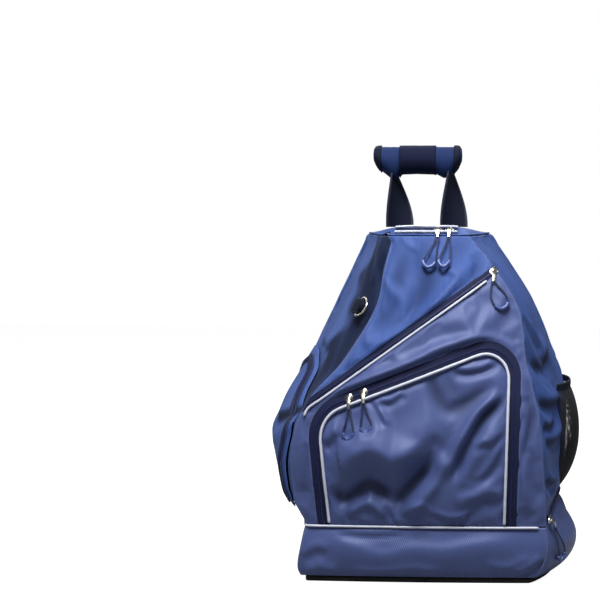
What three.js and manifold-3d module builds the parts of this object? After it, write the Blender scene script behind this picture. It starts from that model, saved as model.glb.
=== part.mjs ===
// A grooming backpack: a tapered cloth bag on a base compartment, with a slanted front pocket, an arched
// pocket in front of it, a zipped pouch on its left, a net pocket on its right and a padded grab handle.
// Millimetres, +Z up, front towards -Y. The origin is on the floor, under the middle of the waist seam.
import * as THREE from "three";
import Module from "manifold-3d";

const wasm = await Module();
wasm.setup();

// Driving sizes of the bag
const WAIST_WIDTH = 316;
const DEPTH = 216;
const BASE_HEIGHT = 76; // floor to the waist seam
const WALL_HEIGHT = 379; // waist seam to the upper edge of the walls
const TOP_RISE = 9; // the top's front ridge above the walls
const CLOTH = 2;
const SEAM = 0.35; // clearance between two sewn pieces
const BACK_PADDING = 6;
const TAPE = 1.2; // a zip's woven tape
const TAPE_DEPTH = 0.9; // how far a zip's tape lies behind the cloth beside it
const PIPING_RADIUS = 2;
const PIPING_RIM = 6; // corners of its section
const PIPING_GAP = 0.9; // from a piping to the cloth it is sewn on

// Base compartment
const SOLE_HEIGHT = 8;
const SOLE_THICKNESS = 3;
const SOLE_ROUNDING = 5;
const DOOR_RISE = 24; // the end door's arch above the waist seam
const DOOR_BULGE = 26;
const DOOR_TAPE_WIDTH = 12;

// Pockets
const SLANT_TAPE_WIDTH = 9;
const ARCH_TAPE_WIDTH = 15;
const ARCH_LEFT_RADIUS = 42;
const ARCH_RIGHT_RADIUS = 30;
const ARC_PIECES = 5;
const POUCH_BULGE = 26;
const POUCH_TAPE_WIDTH = 12;
const NET = 1;
const NET_BULGE = 18;
const NET_MOUTH = 11; // how far the net pocket's mouth stands off the wall
const NET_BINDING_HEIGHT = 10;
const NET_BINDING = 2.6;

// Top zip
const TOP_ZIP_LENGTH = 84;
const TOP_ZIP_WIDTH = 18;
const TOP_ZIP_SETBACK = 4; // from the top's front edge
const TOP_ZIP_OFFSET = -4; // its middle, left of the bag's middle

// Grab handle
const WEBBING_WIDTH = 38;
const WEBBING = 2.4;
const GRIP_LENGTH = 118;
const GRIP_HEIGHT = 37;
const GRIP_DEPTH = 42;
const GRIP_TOP = 572; // above the floor
const GRIP_MIDDLE = -18; // along X
const HANDLE_LEFT = { foot: -43, grip: -51 }; // where the webbing meets the top and the grip, along X
const HANDLE_RIGHT = { foot: 31, grip: 26 };
const HANDLE_SETBACK = 34; // along Y
const GRIP_BAND_LENGTH = 50;
const GRIP_CLEARANCE = 0.6; // from the grip to what is wrapped round it
const GRIP_BAND = 1.4;
const BINDING_WIDTH = 9;
const BINDING = 1.6;

// Zip pulls
const SLIDER_LENGTH = 12;
const SLIDER_WIDTH = 9;
const SLIDER_HEIGHT = 4.2;
const PULL_CORD = 2.4; // diameter
const SLEEVE_WALL = 1.1;
const SLEEVE_CLEARANCE = 0.35;

// D-ring on its tab
const RING_WIDTH = 29;
const RING_REACH = 21;
const RING_WIRE = 3;
const TAB_WIDTH = 22;
const TAB_LENGTH = 20;

// Shoulder straps
const STRAP_WIDTH = 62;
const STRAP_PADDING = 11;
const STRAP_WEBBING_WIDTH = 25;
const BUCKLE_LENGTH = 30;
const BUCKLE_WIDTH = 36;
const BUCKLE_THICKNESS = 5;
const BUCKLE_SLOT = 5;
const BUCKLE_DROP = 3; // below the end of its strap

// The walls' four corner lines. up: share of the wall height. Left and right: shares of half the waist width.
// front and back: shares of half the depth, and so are the bows, how far each wall swells past its corners.
const BODY = table(
  [
    "up", "frontLeft", "frontRight", "front", "backLeft", "backRight",
    "back", "bowFront", "bowRight", "bowBack", "bowLeft",
  ],
  [0.0, -0.99, 1.0, -1.0, -1.04, 1.07, 1.0, 0.05, 0.05, 0.02, 0.05],
  [0.09, -1.08, 0.99, -1.03, -1.1, 1.1, 1.0, 0.1, 0.09, 0.03, 0.06],
  [0.27, -1.11, 0.96, -1.05, -1.16, 1.13, 0.98, 0.14, 0.13, 0.04, 0.07],
  [0.41, -1.01, 0.92, -1.01, -1.14, 1.13, 0.96, 0.14, 0.14, 0.04, 0.08],
  [0.56, -0.75, 0.83, -0.88, -1.07, 1.07, 0.92, 0.12, 0.12, 0.03, 0.08],
  [0.75, -0.48, 0.76, -0.69, -0.86, 0.89, 0.88, 0.1, 0.08, 0.02, 0.07],
  [0.88, -0.42, 0.57, -0.51, -0.71, 0.7, 0.85, 0.08, 0.06, 0.02, 0.05],
  [1.0, -0.35, 0.33, -0.25, -0.57, 0.5, 0.8, 0.05, 0.03, 0.01, 0.03],
);

// The same for the base compartment. up: share of its height.
const BASE = table(
  [
    "up", "frontLeft", "frontRight", "front", "backLeft", "backRight",
    "back", "bowFront", "bowRight", "bowBack", "bowLeft",
  ],
  [0.0, -1.02, 0.86, -0.96, -1.02, 0.96, 0.96, 0.02, 0.1, 0.02, 0.03],
  [0.25, -1.07, 0.95, -1.02, -1.06, 1.04, 1.0, 0.05, 0.12, 0.03, 0.04],
  [0.65, -1.04, 1.0, -1.04, -1.06, 1.07, 1.01, 0.06, 0.1, 0.03, 0.05],
  [1.0, -0.99, 1.0, -1.0, -1.04, 1.07, 1.0, 0.05, 0.05, 0.02, 0.05],
);

// Main dents and ridges of the walls. across: 0 to 1 along the wall as seen from outside, left to right.
// up: share of the wall height. halfAcross, halfUp: their reach. depth: share of half the depth, inwards.
const DENTS = table(
  ["wall", "across", "up", "halfAcross", "halfUp", "depth"],
  ["left", 0.9, 0.78, 0.09, 0.3, 0.13],
  ["left", 0.5, 0.52, 0.5, 0.05, 0.05],
  ["front", 0.3, 0.9, 0.08, 0.2, 0.05],
  ["front", 0.48, 0.2, 0.16, 0.06, 0.06],
  ["front", 0.62, 0.34, 0.06, 0.12, 0.05],
  ["front", 0.3, 0.07, 0.2, 0.05, 0.05],
  ["right", 0.25, 0.6, 0.16, 0.05, 0.06],
  ["right", 0.2, 0.2, 0.2, 0.06, 0.05],
);

// Rise of the top over the walls' edge, from front to back, as shares of TOP_RISE.
const TOP_PROFILE = table(
  ["back", "rise"],
  [0.0, 0.0],
  [0.1, 0.55],
  [0.24, 1.0],
  [0.6, 0.8],
  [1.0, 0.0],
);

// Front cut lines, as shares of half the waist width and of the wall height.
const SLANT_LOW = { across: -0.97, up: 0.41 };
const SLANT_HIGH = { across: 0.56, up: 0.863 };
const SLANT_PIPING_END = 0.955; // share of the slanted line where its piping meets the slider
const SLANT_HOOK = { across: -1.0, up: 0.385 };
const ARCH = {
  leftFoot: { across: -0.8, up: 0.0 },
  leftShoulder: { across: -0.88, up: 0.385 },
  rightShoulder: { across: 0.69, up: 0.635 },
  rightFoot: { across: 0.65, up: 0.0 },
};

// Rows of a table as records with named columns.
function table(columns, ...rows) {
  return rows.map((row) => Object.fromEntries(columns.map((name, i) => [name, row[i]])));
}

const BODY_TOP = BASE_HEIGHT + WALL_HEIGHT;
const HALF_WIDTH = WAIST_WIDTH / 2;
const HALF_DEPTH = DEPTH / 2;
const SMALL = 1e-3;

const materials = {
  sheen: cloth("#2f3f78", 0.42),
  twill: cloth("#2b3561", 0.5),
  webbing: cloth("#1a2038", 0.8),
  net: cloth("#15181a", 0.85),
  sole: cloth("#101114", 0.7),
  piping: cloth("#c9cad2", 0.4),
  tape: cloth("#232b5c", 0.75),
  cord: cloth("#26315c", 0.7),
  plastic: new THREE.MeshStandardMaterial({ color: "#3d5088", roughness: 0.35 }),
  buckle: new THREE.MeshStandardMaterial({ color: "#15171c", roughness: 0.4 }),
  metal: new THREE.MeshStandardMaterial({ color: "#d8d6d0", roughness: 0.22, metalness: 1 }),
};

function cloth(color, roughness) {
  return new THREE.MeshStandardMaterial({ color, roughness, metalness: 0 });
}

// Smooth reading of one column of a table: a cubic through its rows.
function read(rows, key, column, at) {
  const last = rows.length - 1;
  let i = 0;
  while (i < last - 1 && at > rows[i + 1][key]) i++;
  const slope = (k) => {
    const a = rows[Math.max(k - 1, 0)];
    const b = rows[Math.min(k + 1, last)];
    return (b[column] - a[column]) / (b[key] - a[key]);
  };
  const span = rows[i + 1][key] - rows[i][key];
  const t = THREE.MathUtils.clamp((at - rows[i][key]) / span, 0, 1);
  const p = rows[i][column];
  const q = rows[i + 1][column];
  const a = slope(i) * span;
  const b = slope(i + 1) * span;
  return p + a * t + (3 * (q - p) - 2 * a - b) * t * t + (2 * (p - q) + a + b) * t * t * t;
}

const WALLS = {
  front: { from: ["frontLeft", "front"], to: ["frontRight", "front"], bow: "bowFront" },
  right: { from: ["frontRight", "front"], to: ["backRight", "back"], bow: "bowRight" },
  back: { from: ["backRight", "back"], to: ["backLeft", "back"], bow: "bowBack" },
  left: { from: ["backLeft", "back"], to: ["frontLeft", "front"], bow: "bowLeft" },
};

// A corner line's point in plan at a height share.
function corner(rows, [side, face], up) {
  return new THREE.Vector2(read(rows, "up", side, up) * HALF_WIDTH, read(rows, "up", face, up) * HALF_DEPTH);
}

function dent(wall, s, up) {
  let sum = 0;
  for (const d of DENTS) {
    if (d.wall !== wall) continue;
    sum += d.depth * Math.exp(-(((s - d.across) / d.halfAcross) ** 2) - ((up - d.up) / d.halfUp) ** 2);
  }
  return sum * HALF_DEPTH;
}

// A point of a wall: s runs from its left corner to its right one as seen from outside, z is its height.
function wallPoint(wall, s, z, lift = 0) {
  const inBase = z < BASE_HEIGHT;
  const rows = inBase ? BASE : BODY;
  const up = inBase ? z / BASE_HEIGHT : (z - BASE_HEIGHT) / WALL_HEIGHT;
  const a = corner(rows, WALLS[wall].from, up);
  const b = corner(rows, WALLS[wall].to, up);
  const along = b.clone().sub(a);
  const out = new THREE.Vector2(along.y, -along.x).normalize();
  const swell = read(rows, "up", WALLS[wall].bow, up) * HALF_DEPTH * 4 * s * (1 - s);
  const push = swell - (inBase ? 0 : dent(wall, s, up)) + lift;
  return new THREE.Vector3(a.x + along.x * s + out.x * push, a.y + along.y * s + out.y * push, z);
}

function wallLength(wall, z) {
  return wallPoint(wall, 0, z).distanceTo(wallPoint(wall, 1, z));
}

// Unit outward normal of a surface given by point(u, v).
function normalAt(point, u, v) {
  const step = 0.01;
  const du = point(Math.min(u + step, 1), v).sub(point(Math.max(u - step, 0), v));
  const dv = point(u, Math.min(v + step, 1)).sub(point(u, Math.max(v - step, 0)));
  return du.cross(dv).normalize();
}

function toSolid(vertices, triangles) {
  const mesh = new wasm.Mesh({
    numProp: 3,
    vertProperties: new Float32Array(vertices.flatMap((p) => [p.x, p.y, p.z])),
    triVerts: new Uint32Array(triangles.flat()),
  });
  const solid = new wasm.Manifold(mesh);
  if (solid.volume() > 0) return solid;
  mesh.triVerts = new Uint32Array(triangles.flatMap(([a, b, c]) => [a, c, b]));
  return new wasm.Manifold(mesh);
}

// A closed sheet of cloth under the surface point(u, v), both from 0 to 1.
function sheet(point, columns, rows, thickness = CLOTH, depth = 0) {
  const outer = [];
  const inner = [];
  for (let j = 0; j <= rows; j++) {
    for (let i = 0; i <= columns; i++) {
      const p = point(i / columns, j / rows);
      const n = normalAt(point, i / columns, j / rows);
      outer.push(p.clone().addScaledVector(n, -depth));
      inner.push(p.clone().addScaledVector(n, -depth - thickness));
    }
  }
  const at = (i, j) => j * (columns + 1) + i;
  const below = outer.length;
  const triangles = [];
  const quad = (a, b, c, d) => triangles.push([a, b, c], [a, c, d]);
  for (let j = 0; j < rows; j++) {
    for (let i = 0; i < columns; i++) {
      const [a, b, c, d] = [at(i, j), at(i + 1, j), at(i + 1, j + 1), at(i, j + 1)];
      quad(a, b, c, d);
      quad(below + d, below + c, below + b, below + a);
    }
  }
  const rim = [];
  for (let i = 0; i < columns; i++) rim.push(at(i, 0));
  for (let j = 0; j < rows; j++) rim.push(at(columns, j));
  for (let i = columns; i > 0; i--) rim.push(at(i, rows));
  for (let j = rows; j > 0; j--) rim.push(at(0, j));
  rim.forEach((a, k) => {
    const b = rim[(k + 1) % rim.length];
    quad(b, a, below + a, below + b);
  });
  return toSolid([...outer, ...inner], triangles);
}

// A closed solid through rings that all have the same number of points.
function loft(rings) {
  const n = rings[0].length;
  const triangles = [];
  for (let k = 0; k < rings.length - 1; k++) {
    for (let i = 0; i < n; i++) {
      const j = (i + 1) % n;
      const [a, b, c, d] = [k * n + i, k * n + j, (k + 1) * n + j, (k + 1) * n + i];
      triangles.push([a, b, c], [a, c, d]);
    }
  }
  const last = (rings.length - 1) * n;
  for (let i = 1; i < n - 1; i++) {
    triangles.push([0, i + 1, i], [last, last + i, last + i + 1]);
  }
  return toSolid(rings.flat(), triangles);
}

// A flat band through stations { at, across, out }, resting on its stations and rising along out.
function band(stations, width, thickness) {
  return loft(
    stations.map(({ at, across, out, share = 1 }) =>
      [[-0.5, 0], [0.5, 0], [0.5, 1], [-0.5, 1]].map(([x, y]) =>
        at.clone().addScaledVector(across, x * width * share).addScaledVector(out, y * thickness),
      ),
    ),
  );
}

// Stations along a curve: its points with two directions across it.
function stationsOn(curve, steps) {
  const frames = curve.computeFrenetFrames(steps, false);
  return frames.normals.map((normal, k) => ({
    middle: curve.getPointAt(k / steps),
    normal,
    binormal: frames.binormals[k],
  }));
}

// A round tube through stations. rim: the corner count of its section.
function tubeThrough(stations, radius, rim) {
  return loft(
    stations.map(({ middle, normal, binormal }) =>
      Array.from({ length: rim }, (_, i) => {
        const turn = (i / rim) * 2 * Math.PI;
        return middle
          .clone()
          .addScaledVector(normal, radius * Math.cos(turn))
          .addScaledVector(binormal, radius * Math.sin(turn));
      }),
    ),
  );
}

function tube(curve, radius, steps, rim) {
  return tubeThrough(stationsOn(curve, steps), radius, rim);
}

// A cutter for the front: an outline of { x, z } points, drawn through the whole front half.
function frontCutter(outline) {
  const reach = DEPTH;
  return loft([-reach, 0].map((y) => outline.map(({ x, z }) => new THREE.Vector3(x, y, z))));
}

const root = new THREE.Group();

function add(name, solid, material, place = root) {
  const { vertProperties, triVerts } = solid.getMesh();
  const geometry = new THREE.BufferGeometry();
  geometry.setAttribute("position", new THREE.BufferAttribute(vertProperties, 3));
  geometry.setIndex(new THREE.BufferAttribute(triVerts, 1));
  geometry.computeVertexNormals();
  const mesh = new THREE.Mesh(geometry, materials[material]);
  mesh.name = name;
  place.add(mesh);
}

// Front wall, its pockets and their zips

const frontX = (x, z) => {
  const left = wallPoint("front", 0, z).x;
  return (x - left) / (wallPoint("front", 1, z).x - left);
};
const frontSpot = (x, z, lift = 0) => wallPoint("front", frontX(x, z), z, lift);
const spot = ({ across, up }) => ({ x: across * HALF_WIDTH, z: BASE_HEIGHT + up * WALL_HEIGHT });

const WALL_LOW = BASE_HEIGHT + SEAM;
const WALL_HIGH = BODY_TOP - CLOTH - SEAM;
const FRONT_COLUMNS = 13;
const FRONT_ROWS = 14;
const frontWall = (u, v) => wallPoint("front", u, WALL_LOW + v * (WALL_HIGH - WALL_LOW));
const frontCloth = sheet(frontWall, FRONT_COLUMNS, FRONT_ROWS);
const frontTape = sheet(frontWall, FRONT_COLUMNS, FRONT_ROWS, TAPE, TAPE_DEPTH);

// The slanted line's height at x once it is moved up by a distance across it.
function slantHeight(x, moved) {
  const low = spot(SLANT_LOW);
  const high = spot(SLANT_HIGH);
  const slope = (high.z - low.z) / (high.x - low.x);
  return low.z + (x - low.x) * slope + moved * Math.hypot(1, slope);
}

// Everything above the moved slanted line.
function aboveSlant(moved) {
  const far = WAIST_WIDTH;
  return [
    { x: -far, z: slantHeight(-far, moved) },
    { x: far, z: slantHeight(far, moved) },
    { x: far, z: BODY_TOP + 2 * far },
    { x: -far, z: BODY_TOP + 2 * far },
  ];
}

// The arched pocket's outline, grown by a distance on its sides and top.
function archOutline(grown) {
  const path = archPath(grown);
  const foot = BASE_HEIGHT - DEPTH / 2;
  const points = path.map(({ x, z }) => ({ x, z }));
  return [{ x: points[0].x, z: foot }, ...points, { x: points[points.length - 1].x, z: foot }];
}

// The arch from its left foot over the top to its right foot: three straight runs joined by two arcs.
function archPath(grown) {
  const marks = [ARCH.leftFoot, ARCH.leftShoulder, ARCH.rightShoulder, ARCH.rightFoot].map(spot);
  const sides = [0, 1, 2].map((i) => {
    const direction = new THREE.Vector2(marks[i + 1].x - marks[i].x, marks[i + 1].z - marks[i].z).normalize();
    const outwards = new THREE.Vector2(-direction.y, direction.x);
    const start = new THREE.Vector2(marks[i].x, marks[i].z).addScaledVector(outwards, grown);
    return { start, direction };
  });
  const meet = (a, b) => {
    const gap = b.start.clone().sub(a.start);
    const t = gap.cross(b.direction) / a.direction.cross(b.direction);
    return a.start.clone().addScaledVector(a.direction, t);
  };
  const radii = [ARCH_LEFT_RADIUS + grown, ARCH_RIGHT_RADIUS + grown];
  const foot = (side) => {
    const t = (BASE_HEIGHT - side.start.y) / side.direction.y;
    return side.start.clone().addScaledVector(side.direction, t);
  };
  const points = [foot(sides[0])];
  for (const [k, radius] of radii.entries()) {
    const before = sides[k].direction;
    const after = sides[k + 1].direction;
    const tip = meet(sides[k], sides[k + 1]);
    const half = Math.acos(before.dot(after)) / 2;
    const back = radius * Math.tan(half);
    const entry = tip.clone().addScaledVector(before, -back);
    const inward = new THREE.Vector2(before.y, -before.x);
    const centre = entry.clone().addScaledVector(inward, radius);
    const start = Math.atan2(-inward.y, -inward.x);
    for (let i = 0; i <= ARC_PIECES; i++) {
      const turn = start - (2 * half * i) / ARC_PIECES;
      points.push(new THREE.Vector2(centre.x + radius * Math.cos(turn), centre.y + radius * Math.sin(turn)));
    }
  }
  points.push(foot(sides[2]));
  return points.map((p) => ({ x: p.x, z: p.y }));
}

const aboveTape = frontCutter(aboveSlant(SLANT_TAPE_WIDTH + SEAM));
const aboveTapeEdge = frontCutter(aboveSlant(SLANT_TAPE_WIDTH));
const abovePocket = frontCutter(aboveSlant(0));
const abovePocketEdge = frontCutter(aboveSlant(-SEAM));
const arch = frontCutter(archOutline(0));
const archEdge = frontCutter(archOutline(SEAM));
const archTape = frontCutter(archOutline(ARCH_TAPE_WIDTH));
const archTapeEdge = frontCutter(archOutline(ARCH_TAPE_WIDTH + SEAM));

add("upper_front_panel", frontCloth.intersect(aboveTape), "sheen");
add("slanted_pocket_zip_tape", frontTape.intersect(abovePocket).subtract(aboveTapeEdge), "tape");
add("slanted_pocket_panel", frontCloth.subtract(abovePocketEdge).subtract(archTapeEdge), "twill");
add("arched_pocket_zip_tape", frontTape.intersect(archTape).subtract(archEdge), "tape");
add("arched_pocket_flap", frontCloth.intersect(arch), "twill");

// Piping

const PIPING_LIFT = PIPING_RADIUS + PIPING_GAP;

function frontLine(points, lift) {
  return points.map(({ x, z }) => frontSpot(x, z, lift));
}

function straight(from, to, pieces) {
  return Array.from({ length: pieces + 1 }, (_, i) => ({
    x: from.x + ((to.x - from.x) * i) / pieces,
    z: from.z + ((to.z - from.z) * i) / pieces,
  }));
}

const slantEnd = spot(SLANT_HIGH);
const slantLine = new THREE.LineCurve(
  new THREE.Vector2(spot(SLANT_LOW).x, spot(SLANT_LOW).z),
  new THREE.Vector2(slantEnd.x, slantEnd.z),
);
const pipingEnd = slantLine.getPoint(SLANT_PIPING_END);
const slantRun = [spot(SLANT_HOOK), ...straight(spot(SLANT_LOW), { x: pipingEnd.x, z: pipingEnd.y }, 8)];
const slantCurve = new THREE.CatmullRomCurve3(frontLine(slantRun, PIPING_LIFT));
add("slanted_pocket_piping", tube(slantCurve, PIPING_RADIUS, 12, PIPING_RIM), "piping");

const archRun = archPath(0);
const LEG_PIECES = 4;
const WAIST_CLEARANCE = 2 * PIPING_RADIUS + 2 * SEAM;
const lifted = (mark) => ({ x: mark.x, z: mark.z + WAIST_CLEARANCE });
const TOP_PIECES = 9;
const archPiping = [
  ...straight(lifted(archRun[0]), archRun[1], LEG_PIECES).slice(0, -1),
  ...archRun.slice(1, ARC_PIECES + 1),
  ...straight(archRun[ARC_PIECES + 1], archRun[ARC_PIECES + 2], TOP_PIECES),
  ...archRun.slice(ARC_PIECES + 3, -1),
  ...straight(archRun[archRun.length - 2], lifted(archRun[archRun.length - 1]), LEG_PIECES).slice(1),
];
const archCurve = new THREE.CatmullRomCurve3(frontLine(archPiping, PIPING_LIFT));
add("arched_pocket_piping", tube(archCurve, PIPING_RADIUS, 28, PIPING_RIM), "piping");

// The waist in plan, moved outwards: from the front right corner round the left and back to the door.
const WAIST_EXTRA = 2; // the walls beside the seam swell past it
const WAIST_FRONT = 0.965; // shares of the front and back walls where the piping starts and ends
const WAIST_BACK = 0.04;
const WAIST_RUNS = [
  { wall: "front", from: WAIST_FRONT, to: 0, pieces: 7 },
  { wall: "left", from: 1, to: 0, pieces: 5 },
  { wall: "back", from: 1, to: WAIST_BACK, pieces: 7 },
];
const waistMark = ({ wall, from, to, pieces }, i) =>
  wallPoint(wall, THREE.MathUtils.lerp(from, to, i / pieces), BASE_HEIGHT);
const waistMarks = WAIST_RUNS.flatMap((run) =>
  Array.from({ length: run.pieces }, (_, i) => waistMark(run, i)),
);
// One mark past each end gives the direction there.
waistMarks.unshift(waistMark(WAIST_RUNS[0], -1));
waistMarks.push(waistMark(WAIST_RUNS[2], 7), waistMark(WAIST_RUNS[2], 8));
const waistRun = waistMarks.slice(1, -1).map((p, i) => {
  const before = p.clone().sub(waistMarks[i]).normalize();
  const after = waistMarks[i + 2].clone().sub(p).normalize();
  const along = before.clone().add(after).normalize();
  const out = new THREE.Vector3(-along.y, along.x, 0);
  return p.clone().addScaledVector(out, (PIPING_LIFT + WAIST_EXTRA) / along.dot(before));
});
const waistCurve = new THREE.CatmullRomCurve3(waistRun, false, "centripetal");
add("waist_piping", tube(waistCurve, PIPING_RADIUS, 36, PIPING_RIM), "piping");

// Side walls and back

const CORNER_INSET = CLOTH + 2 * SEAM; // a side wall starts behind the front and back walls
const SIDE_COLUMNS = 7;
const SIDE_ROWS = 10;

// The share of a side wall that lies between its insets.
function insetShare(wall, u, z, atStart, atEnd) {
  const length = wallLength(wall, z);
  return (atStart + u * (length - atStart - atEnd)) / length;
}

const BACK_INSET = BACK_PADDING + 2 * SEAM;
const leftWall = (u, v) => {
  const z = WALL_LOW + v * (WALL_HIGH - WALL_LOW);
  return wallPoint("left", insetShare("left", u, z, BACK_INSET, CORNER_INSET), z);
};
add("left_side_panel", sheet(leftWall, SIDE_COLUMNS + 1, SIDE_ROWS), "sheen");

// The end door's arch: its height over the right wall's length.
const doorTop = (s) => BASE_HEIGHT + DOOR_RISE * Math.max(Math.sin(Math.PI * s), 0) ** 0.7;

const DOOR_COLUMNS = 10;
const doorShare = (u) => insetShare("right", u, BASE_HEIGHT, CORNER_INSET, BACK_INSET);
const rightWall = (u, v) => {
  const low = doorTop(doorShare(u)) + SEAM;
  const z = low + v * (WALL_HIGH - low);
  const upper = insetShare("right", u, z, CORNER_INSET, BACK_INSET);
  return wallPoint("right", THREE.MathUtils.lerp(doorShare(u), upper, v), z);
};
add("right_side_panel", sheet(rightWall, DOOR_COLUMNS, SIDE_ROWS), "sheen");

const backWall = (u, v) => wallPoint("back", u, WALL_LOW + v * (WALL_HIGH - WALL_LOW));
add("back_panel", sheet(backWall, 6, 9, BACK_PADDING), "sheen");

// Base compartment

const BASE_LOW = SOLE_HEIGHT + SEAM;
const BASE_HIGH = BASE_HEIGHT - SEAM;
const BASE_ROWS = 4;

function baseWall(name, wall, atStart, atEnd, columns) {
  const point = (u, v) => {
    const z = BASE_LOW + v * (BASE_HIGH - BASE_LOW);
    return wallPoint(wall, insetShare(wall, u, z, atStart, atEnd), z);
  };
  add(name, sheet(point, columns, BASE_ROWS), "twill");
}
baseWall("base_front_panel", "front", 0, 0, 9);
baseWall("base_left_panel", "left", CORNER_INSET, CORNER_INSET, 5);
baseWall("base_back_panel", "back", 0, 0, 6);

// The end door swells outwards between its arch and the sole.
const doorHigh = (s) => Math.max(doorTop(s) - SEAM, BASE_HIGH);
function doorSpot(s, z, lift = 0) {
  const v = THREE.MathUtils.clamp((z - BASE_LOW) / (doorHigh(s) - BASE_LOW), 0, 1);
  const swell = DOOR_BULGE * Math.sin(Math.PI * s) ** 0.7 * Math.sin(Math.PI * (0.16 + 0.84 * v)) ** 0.8;
  return wallPoint("right", s, z, swell + lift);
}
const doorWall = (u, v) => {
  const s = doorShare(u);
  return doorSpot(s, BASE_LOW + v * (doorHigh(s) - BASE_LOW));
};
add("base_end_door", sheet(doorWall, DOOR_COLUMNS, 7), "twill");

// Its zip follows the arch on the wall above it.
const DOOR_TAPE_LIFT = TAPE + PIPING_GAP;
const DOOR_ZIP = { from: 0.035, to: 0.93 };
function doorZipSpot(s, across, lift) {
  const step = 0.01;
  const length = wallLength("right", BASE_HEIGHT);
  const run = new THREE.Vector2(2 * step * length, doorTop(s + step) - doorTop(s - step)).normalize();
  const away = SEAM + across;
  return wallPoint("right", s - (run.y * away) / length, doorTop(s) + run.x * away, lift);
}
const doorZip = (u, v) => {
  const s = DOOR_ZIP.from + (DOOR_ZIP.to - DOOR_ZIP.from) * u;
  return doorZipSpot(s, DOOR_TAPE_WIDTH * v, DOOR_TAPE_LIFT);
};
add("end_door_zip_tape", sheet(doorZip, 14, 1, TAPE), "tape");

// The sole: a shallow tray with rounded lower edges.
function planRing(z, inset) {
  const ring = [];
  for (const [wall, pieces] of [["front", 6], ["right", 6], ["back", 6], ["left", 4]]) {
    for (let i = 0; i < pieces; i++) {
      const s = i / pieces;
      const swell = wall === "right" ? DOOR_BULGE * 0.55 * Math.sin(Math.PI * s) ** 0.7 : 0;
      ring.push(wallPoint(wall, s, SOLE_HEIGHT, swell));
    }
  }
  const middle = new THREE.Vector3(0, 0, SOLE_HEIGHT);
  return ring.map((p) => {
    const away = p.clone().sub(middle);
    const share = 1 - inset / Math.min(Math.abs(away.x) + Math.abs(away.y) * SMALL, HALF_DEPTH);
    return new THREE.Vector3(p.x * Math.min(share, 1), p.y * (1 - inset / HALF_DEPTH), z);
  });
}
const soleOutside = loft([
  planRing(0, SOLE_ROUNDING),
  planRing(SOLE_ROUNDING / 2, SOLE_ROUNDING / 4),
  planRing(SOLE_HEIGHT, 0),
]);
const soleInside = loft([
  planRing(SOLE_THICKNESS, SOLE_THICKNESS + SOLE_ROUNDING / 4),
  planRing(SOLE_HEIGHT + 1, SOLE_THICKNESS),
]);
add("sole", soleOutside.subtract(soleInside), "sole");

// Top panel and its zip

const TOP_COLUMNS = 8;
const TOP_ROWS = 8;
const topPoint = (u, v) => {
  const a = wallPoint("front", u, BODY_TOP);
  const b = wallPoint("back", 1 - u, BODY_TOP);
  const p = a.lerp(b, v);
  const rounding = 1 - (2 * u - 1) ** 6;
  p.z = BODY_TOP + TOP_RISE * rounding * read(TOP_PROFILE, "back", "rise", v);
  return p;
};
const topFrontEdge = (x) => wallPoint("front", frontX(x, BODY_TOP), BODY_TOP).y;
const topZipX = (share) => TOP_ZIP_OFFSET + TOP_ZIP_LENGTH * (share - 0.5);

// A cutter over the top zip, grown by a margin: it keeps its distance from the top's front edge.
function topZipCutter(margin) {
  const pieces = 6;
  const side = (i) => margin * Math.sign(i - pieces / 2);
  const xs = Array.from({ length: pieces + 1 }, (_, i) => topZipX(i / pieces) + side(i));
  const near = xs.map((x) => ({ x, y: topFrontEdge(x) + TOP_ZIP_SETBACK - margin }));
  const far = xs.map((x) => ({ x, y: topFrontEdge(x) + TOP_ZIP_SETBACK + TOP_ZIP_WIDTH + margin })).reverse();
  const ring = (z) => [...near, ...far].map(({ x, y }) => new THREE.Vector3(x, y, z));
  return loft([ring(BASE_HEIGHT), ring(BODY_TOP + WALL_HEIGHT)]);
}
const topSheet = sheet(topPoint, TOP_COLUMNS, TOP_ROWS);
const topTape = sheet(topPoint, TOP_COLUMNS, TOP_ROWS, TAPE, TAPE_DEPTH);
add("top_panel", topSheet.subtract(topZipCutter(SEAM)), "sheen");
add("top_zip_tape", topTape.intersect(topZipCutter(0)), "tape");

function topSpot(x, y, lift) {
  let u = 0.5;
  let v = 0.1;
  for (let i = 0; i < 12; i++) {
    const p = topPoint(u, v);
    const right = topPoint(1, v).x - topPoint(0, v).x;
    const back = topPoint(u, 1).y - topPoint(u, 0).y;
    u = THREE.MathUtils.clamp(u + (x - p.x) / right, 0, 1);
    v = THREE.MathUtils.clamp(v + (y - p.y) / back, 0, 1);
  }
  return topPoint(u, v).addScaledVector(normalAt(topPoint, u, v), lift);
}
function topPiping(name, setback) {
  const pieces = 6;
  const points = Array.from({ length: pieces + 1 }, (_, i) => {
    const x = topZipX(i / pieces);
    return topSpot(x, topFrontEdge(x) + setback, PIPING_RADIUS + SEAM);
  });
  add(name, tube(new THREE.CatmullRomCurve3(points), PIPING_RADIUS, 8, PIPING_RIM), "piping");
}
topPiping("top_zip_front_piping", TOP_ZIP_SETBACK);
topPiping("top_zip_back_piping", TOP_ZIP_SETBACK + TOP_ZIP_WIDTH);

// Zipped pouch on the left side

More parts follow.
